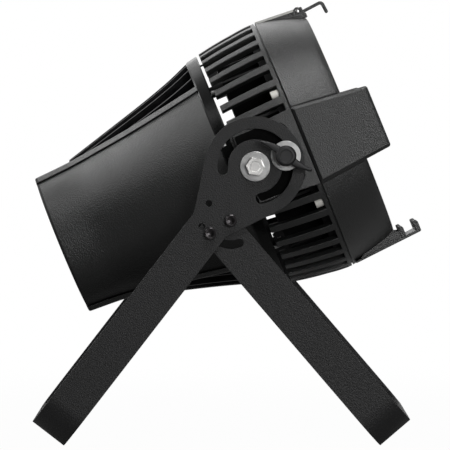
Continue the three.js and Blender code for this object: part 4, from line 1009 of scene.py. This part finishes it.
finished(cluster, "lens_cluster", OPTIC, ["lens_array"], 60)
finished(holder, "lens_holder", PLASTIC)
finished(chips, "led_chips", CHIP)

# Frame guides beside the lens

GUIDE_FACE, GUIDE_OPEN, GUIDE_REACH, GUIDE_FRONT = 140.2, 128.2, 117.7, 136.0
PRONG_REAR, PRONG_FRONT, WALL_REAR = 114.0, 119.0, 130.0
# Inset and depth of the cast edge round the guides
CHAMFER = [(3.2, 0), (2.8, 0.1), (0.3, 1.6), (0, 2.0)]


def bezel_blank(grown):
    """The whole round form of the bezel, grown by a little."""
    blank = [(SEAM - 2, 0), (SEAM - 2, 137 + grown)]
    blank += [(x, bezel_radius(x) + grown) for x in evenly(SEAM, BEZEL_FRONT, 24)]
    blank += [(BEZEL_FRONT + grown, 121.2 + grown), (BEZEL_FRONT + grown, 0)]
    return spun(bmesh.new(), blank, on_beam(), 160)


def depths(side, inner, outer):
    return sorted((side * inner, side * outer))


guide = [(SEAM + 0.3, -41.5, 2.6), (GUIDE_FRONT, -33, 3), (GUIDE_FRONT, 33, 3), (SEAM + 0.3, 41.5, 2.6)]
skin = [(SEAM + 0.6, -43.2), (GUIDE_FRONT, -34.8), (GUIDE_FRONT, 34.8), (SEAM + 0.6, 43.2)]
for side, name in SIDES:
    bm = slab(bmesh.new(), [fillet(guide, 1, 6)], GUIDE_REACH, GUIDE_FACE, in_xz(side), CHAMFER)
    low, high = depths(side, GUIDE_REACH - 2, GUIDE_OPEN)
    tools = [bezel_blank(0.3)]
    for rear, front in ((BEZEL_FRONT, PRONG_REAR), (PRONG_FRONT, WALL_REAR)):
        tools.append(box_tool(rear, front, low, high, -50, 50))
    finished(combined(bm, tools), f"guide_{name}", HOUSING, [f"frame_guide_{name}"], 35)
    # Painted shade: a dark strip shows as a line round the guide, proud of the bezel by a fifth of a
    # millimetre, for the shade in the joint between guide and bezel
    bm = slab(bmesh.new(), [fillet(skin, 2, 4)], GUIDE_REACH, GUIDE_FACE - 1, in_xz(side), 0.1)
    cut = combined(bm, [bezel_blank(-0.6)])
    bm = bmesh.new()
    bm.from_mesh(cut)
    bpy.data.meshes.remove(cut)
    finished(combined(bm, [bezel_blank(0.2)], "INTERSECT"), f"shade_line_{name}", RUBBER, angle=35)

# Frame holder under the lens

HOLDER_REAR, HOLDER_FRONT, HOLDER_HALF = 60.0, 135.5, 35.0
HOLDER_REAR_Z, HOLDER_FRONT_Z, HOLDER_TIP = -135.4, -129.6, -116.6
bm = bmesh.new()
sheet = [
    (HOLDER_REAR, HOLDER_REAR_Z, 0.3), (HOLDER_FRONT, HOLDER_FRONT_Z, 1.8),
    (HOLDER_FRONT, HOLDER_FRONT_Z + 4.4, 0.4), (WALL_REAR, HOLDER_FRONT_Z + 4.4, 0.4),
    (WALL_REAR, HOLDER_FRONT_Z + 2.9, 0.4), (HOLDER_REAR, HOLDER_REAR_Z + 2.2, 0.3),
]
slab(bm, [fillet(sheet, 0.3)], -HOLDER_HALF, HOLDER_HALF, in_xz(), 0.5)
for side, _ in SIDES:
    for rear, front in ((PRONG_REAR, PRONG_FRONT), (WALL_REAR, HOLDER_FRONT)):
        prong = [
            (rear, HOLDER_FRONT_Z + 0.6, 0), (front, HOLDER_FRONT_Z + 0.6, 0.3),
            (front, HOLDER_TIP - 2.6, 1.4), (front - 1.6, HOLDER_TIP, 0.8), (rear + 0.5, HOLDER_TIP, 0.5),
            (rear, HOLDER_TIP - 0.8, 0.5), (rear, HOLDER_FRONT_Z + 4.6, 0.8),
        ]
        slab(bm, [fillet(prong, 0.5)], *depths(side, HOLDER_HALF - 0.4, HOLDER_HALF - 12), in_xz(), 0.5)
    # A wedge of sheet closes the side between the plate and the bezel
    wedge = [(HOLDER_REAR + 3, HOLDER_REAR_Z + 1), (PRONG_FRONT - 1, HOLDER_FRONT_Z - 0.2)]
    wedge += [(PRONG_REAR + 1, -122), (BEZEL_FRONT + 0.4, -120.5), (BEZEL_FRONT + 0.4, -117.5)]
    wedge += [(x, -sqrt((bezel_radius(x) - 0.8) ** 2 - HOLDER_HALF**2)) for x in evenly(104.0, 72.0, 4)]
    slab(bm, [wedge], *depths(side, HOLDER_HALF - 0.9, HOLDER_HALF - 2.9), in_xz())
finished(bm, "holder", HOUSING, ["frame_holder"], 38)

# Latch above the lens

LATCH_PIN = (102.8, 131.5)
LATCH_HALF, PIN_HALF, CHEEK_REAR, CHEEK_FRONT, CHEEK_TOP = 13, 13.6, 96.8, 110.5, 134.6
HOOK_LIFT, HOOK_HALF, HOOK_THICK, HOOK_BEND, HOOK_TOP = radians(5.5), 5.4, 3.4, 5.0, -1.1
HOOK_REACH, HOOK_TIP = 131.6 - LATCH_PIN[0], 115.6 - LATCH_PIN[1]
strip = fillet([(57, 137.6), (57, 134.9), (98.8, 132.2), (98.8, 134.9)], 0.3, 2)
plate("latch_plate", PALE, [strip], -LATCH_HALF, LATCH_HALF, in_xz())
bm = bmesh.new()
cheek = [
    (CHEEK_REAR, 124.6, 0.4), (103.4, 123.4, 0.6), (104.6, 122.1, 0.5), (CHEEK_FRONT, 122.1, 0.5),
    (CHEEK_FRONT, 126.6, 1.0), (108.6, 128.4, 1.2), (108.4, CHEEK_TOP, 1.6), (CHEEK_REAR, CHEEK_TOP, 0.8),
]
lie = [(x, sqrt((bezel_radius(x) - 0.8) ** 2 - LATCH_HALF**2)) for x in evenly(70.0, 94.0, 3)]
for side, _ in SIDES:
    slab(bm, [fillet(cheek, 0.5, 4), circle(*LATCH_PIN, 2.3, 24)], *depths(side, 9, 12.8), in_xz(), 0.5)
    # A wedge of sheet closes the side between the platform and the bezel
    slab(bm, [[(72, 134.6), *lie, (98.4, 124.4), (98.4, 133.2)]], *depths(side, 10.4, 12.4), in_xz(), 0.3)
back = [(CHEEK_REAR, 124), (98.6, 124), (98.6, 134.4), (CHEEK_REAR, 134.4)]
slab(bm, [fillet(back, 0.3, 2)], -12.2, 12.2, in_xz(), 0.3)
finished(bm, "latch_block", HOUSING, ["latch_bracket"], 38)

pin = fillet(solid(-PIN_HALF, PIN_HALF, 2), 0.5)
turned("pin_latch", ZINC, pin, on_side(*LATCH_PIN), 32, True, stands_for=["latch_pin"])

outline = (
    [(0, HOOK_TOP)]
    + arc(HOOK_REACH - HOOK_BEND, HOOK_TOP - HOOK_BEND, HOOK_BEND, pi / 2, 0, 10)
    + arc(HOOK_REACH - HOOK_THICK / 2, HOOK_TIP + HOOK_THICK / 2, HOOK_THICK / 2, 0, -pi, 10)
    + arc(HOOK_REACH - HOOK_BEND, HOOK_TOP - HOOK_BEND, HOOK_BEND - HOOK_THICK, 0, pi / 2, 8)
    + [(0, HOOK_TOP - HOOK_THICK)]
)
bm = slab(bmesh.new(), [outline], -HOOK_HALF, HOOK_HALF, in_xz(), 0.7)
spun(bm, fillet(tube(-HOOK_HALF, HOOK_HALF, 2.3, 4.5), 0.5), on_side(), 40, True)
HOOK = HEAD @ Matrix.Translation((LATCH_PIN[0], 0, LATCH_PIN[1])) @ turned_about_y(-HOOK_LIFT)
finished(bm, "hook", HOUSING, ["latch_hook"], place=HOOK, body="latch")

# Rear panel and what it carries

PANEL_REAR, PANEL_FRONT, PANEL_RADIUS, BOARD_REAR = -214.0, -211.5, 71.7, -209.1
PANEL_SCREW_PLACE = 64.5
BUTTONS = [((k - 1.5) * 15.0, 12.0) for k in range(4)]
SOCKETS = [
    ("power_inlet", -24.0, -46.0, 12.6),
    ("power_outlet", 24.0, -46.0, 12.6),
    ("data_inlet", -30.0, -14.0, 11.4),
    ("data_outlet", 30.0, -14.0, 11.4),
]
WINDOW_HALF, WINDOW_LOW, WINDOW_HIGH = 21.0, 24.0, 44.0


def window_outline(grown, radius, steps=4):
    """The display's outline, grown by a little, with its corners rounded."""
    half = WINDOW_HALF + grown
    return fillet(rectangle(-half, half, WINDOW_LOW - grown, WINDOW_HIGH + grown), radius, steps)


loops = [circle(0, 0, PANEL_RADIUS, 128), window_outline(0.3, 1.5)]
loops += [circle(y, z, 4.0, 28) for y, z in BUTTONS]
loops += [circle(y, z, r - 1.7, 40) for _, y, z, r in SOCKETS]
bm = slab(bmesh.new(), loops, PANEL_REAR, PANEL_FRONT, in_yz)
loops = [window_outline(3, 2.5, 5), window_outline(0.4, 1.5)]
slab(bm, loops, PANEL_REAR - 0.6, PANEL_REAR + 0.2, in_yz, 0.25)
finished(bm, "panel_rear", PLASTIC, ["rear_panel"], 38)
plate("window", GLOSS, [window_outline(0, 1.2)], PANEL_REAR - 0.8, BOARD_REAR - 0.3, in_yz, 0.3,
      stands_for=["display_window"], angle=38)
face, back = PANEL_REAR - 1.6, PANEL_FRONT + 0.3
cap = [(face + 0.45, 0), (face + 0.3, 1.6), (face, 2.7), (face + 0.12, 3.3), (face + 0.6, 3.7)]
cap += [(back, 3.7), (back, 4.7), (back + 0.8, 4.7), (back + 0.8, 0)]
for k, (y, z) in enumerate(BUTTONS):
    turned(f"button_cap_{k + 1}", RUBBER, cap, on_beam(y, z), 40, stands_for=[f"menu_button_{k + 1}"],
           body=f"button_{k + 1}")
for name, y, z, r in SOCKETS:
    face, back, seat = PANEL_REAR - 2.7, BOARD_REAR - 0.3, PANEL_REAR - 0.3
    body_r, mouth = r - 2.0, r - 4.2
    socket = [
        (back, 0, 0), (back, body_r, 0.4), (seat, body_r, 0), (seat, r, 0.2), (face + 0.8, r, 0.3),
        (face, r - 1.0, 0.4), (face, mouth + 0.4, 0.3), (face + 3.0, mouth, 0.1), (face + 3.0, 0, 0),
    ]
    turned(f"socket_{name}", PLASTIC, fillet(socket, 0.2, 2), on_beam(y, z), 56, stands_for=[name], angle=38)
    bm = bmesh.new()
    contact = [(face + 3.1, 0.95), (face + 0.9, 0.95), (face + 0.5, 0.6), (face + 0.4, 0)]
    for a in (pi / 2 + 2 * pi * (k + 0.5) / 3 for k in range(3)):
        across, up = polar(mouth / 2, a)
        spun(bm, contact, on_beam(y + across, z + up), 20)
    finished(bm, f"contacts_{name}", CONTACT)

bm = bmesh.new()
for a in (pi / 6 + k * pi / 3 for k in range(6)):
    socket_screw(bm, on_beam(*polar(PANEL_SCREW_PLACE, a), -1), -PANEL_REAR, tall=1.7, across=5.6,
                 socket=2.5, deep=1.1, shank_end=-PANEL_REAR - 2, shank=3)
finished(bm, "panel_screws", STEEL, angle=30)

# Finishes of the CAD solids that show as they are

CAD_FINISHES = [
    (FIN, ("cooling_duct", "led_heat_sink")),
    (LAMINATE, ("led_board", "control_board", "driver_board")),
    (PLASTIC, ("fan_frame", "fan_rotor")),
    (HOUSING, ("glass_retainer",)),
]
for material, names in CAD_FINISHES:
    for name in names:
        dress(nodes[name].data, material, 32)

# Floor, backdrop and light


def joined(tree, operation, first, second):
    """A Math node's result for two linked values."""
    node = add(tree, "ShaderNodeMath", operation=operation)
    for place, source in enumerate((first, second)):
        tree.links.new(source, node.inputs[place])
    return node.outputs[0]


def whitened(tree, plain, to_mirror, to_camera=None):
    """Mixes white light into a shader, with one share for mirrors and glass and one for the camera."""
    path = add(tree, "ShaderNodeLightPath").outputs
    mirrored = joined(tree, "MAXIMUM", path["Is Glossy Ray"], path["Is Transmission Ray"])
    seen = path["Is Camera Ray"]
    if to_camera:
        seen = joined(tree, "MULTIPLY", seen, to_camera)
    share = joined(tree, "MAXIMUM", joined(tree, "MULTIPLY", mirrored, to_mirror), seen)
    white = add(tree, "ShaderNodeEmission", Color=(1, 1, 1, 1), Strength=1.0).outputs[0]
    mix = add(tree, "ShaderNodeMixShader")
    for place, source in enumerate((share, plain, white)):
        tree.links.new(source, mix.inputs[place])
    return mix.outputs[0]


floor_material, tree, shader = new_material("floor")
fill(shader, {"Base Color": (0.16, 0.16, 0.16, 1), "Roughness": 0.9, "Specular IOR Level": 0.0})
length = add(tree, "ShaderNodeVectorMath", operation="LENGTH", Vector=coordinates(tree, "Object"))
floor_seen = faded(tree, length.outputs["Value"], 0.35, 1.3, 0.98, 1.0)
floor_mirrored = faded(tree, coordinate(tree, "Object", "Y"), -0.6, 0.5, 0.0, 0.2)
floor_look = whitened(tree, shader.outputs[0], floor_mirrored, floor_seen)
fill(tree.nodes["Material Output"], {"Surface": floor_look})
bpy.ops.mesh.primitive_circle_add(vertices=96, radius=14, fill_type="NGON", location=(0, 0, -0.0003))
floor = bpy.context.object
floor.name = "floor"
floor.data.materials.append(floor_material)

# Polished faces mirror a bright room behind and to the left of the light, and a dark one elsewhere
world = bpy.data.worlds.new("studio")
bpy.context.scene.world = world
world.use_nodes = True
tree = world.node_tree
plain = fill(tree.nodes["Background"], {"Color": (1, 1, 1, 1), "Strength": 0.04})
heading = add(tree, "ShaderNodeVectorMath", operation="DOT_PRODUCT", Vector=coordinates(tree, "Generated"))
heading.inputs[1].default_value = (-0.6, 0.8, 0)
world_mirrored = faded(tree, heading.outputs["Value"], 0.0, 0.6, 0.0, 0.7)
fill(tree.nodes["World Output"], {"Surface": whitened(tree, plain.outputs[0], world_mirrored)})

# Name, place, width, height and power in watts, all aimed at the head
LIGHT_TARGET = Vector((0, 0, 0.3))
SOFTBOXES = [
    ("front_top", (0.25, -1.3, 2.4), 0.9, 0.7, 14),
    ("front_top_right", (0.45, -1.0, 2.5), 0.7, 0.6, 14),
    ("front_left_top", (-1.75, -0.9, 1.65), 0.9, 0.8, 7),
    ("front_right", (0.8, -2.2, 0.6), 0.9, 0.9, 14),
    ("right", (1.7, -1.5, 0.5), 0.8, 0.8, 2),
    ("back_top", (-0.2, 1.8, 1.8), 1.4, 0.7, 5.5),
    ("back_left_top", (-1.3, 1.3, 1.9), 0.9, 0.7, 2.5),
    ("back_left", (-1.9, 0.9, 1.2), 0.9, 0.7, 12),
    ("back", (-0.1, 2.2, 1.0), 1.4, 0.6, 2),
]
for name, place, wide, tall, power in SOFTBOXES:
    data = bpy.data.lights.new(name, "AREA")
    data.shape = "RECTANGLE"
    data.size = wide
    data.size_y = tall
    data.energy = power
    lamp = in_scene(name, data)
    lamp.location = place
    lamp.rotation_euler = (LIGHT_TARGET - Vector(place)).to_track_quat("-Z", "Y").to_euler()
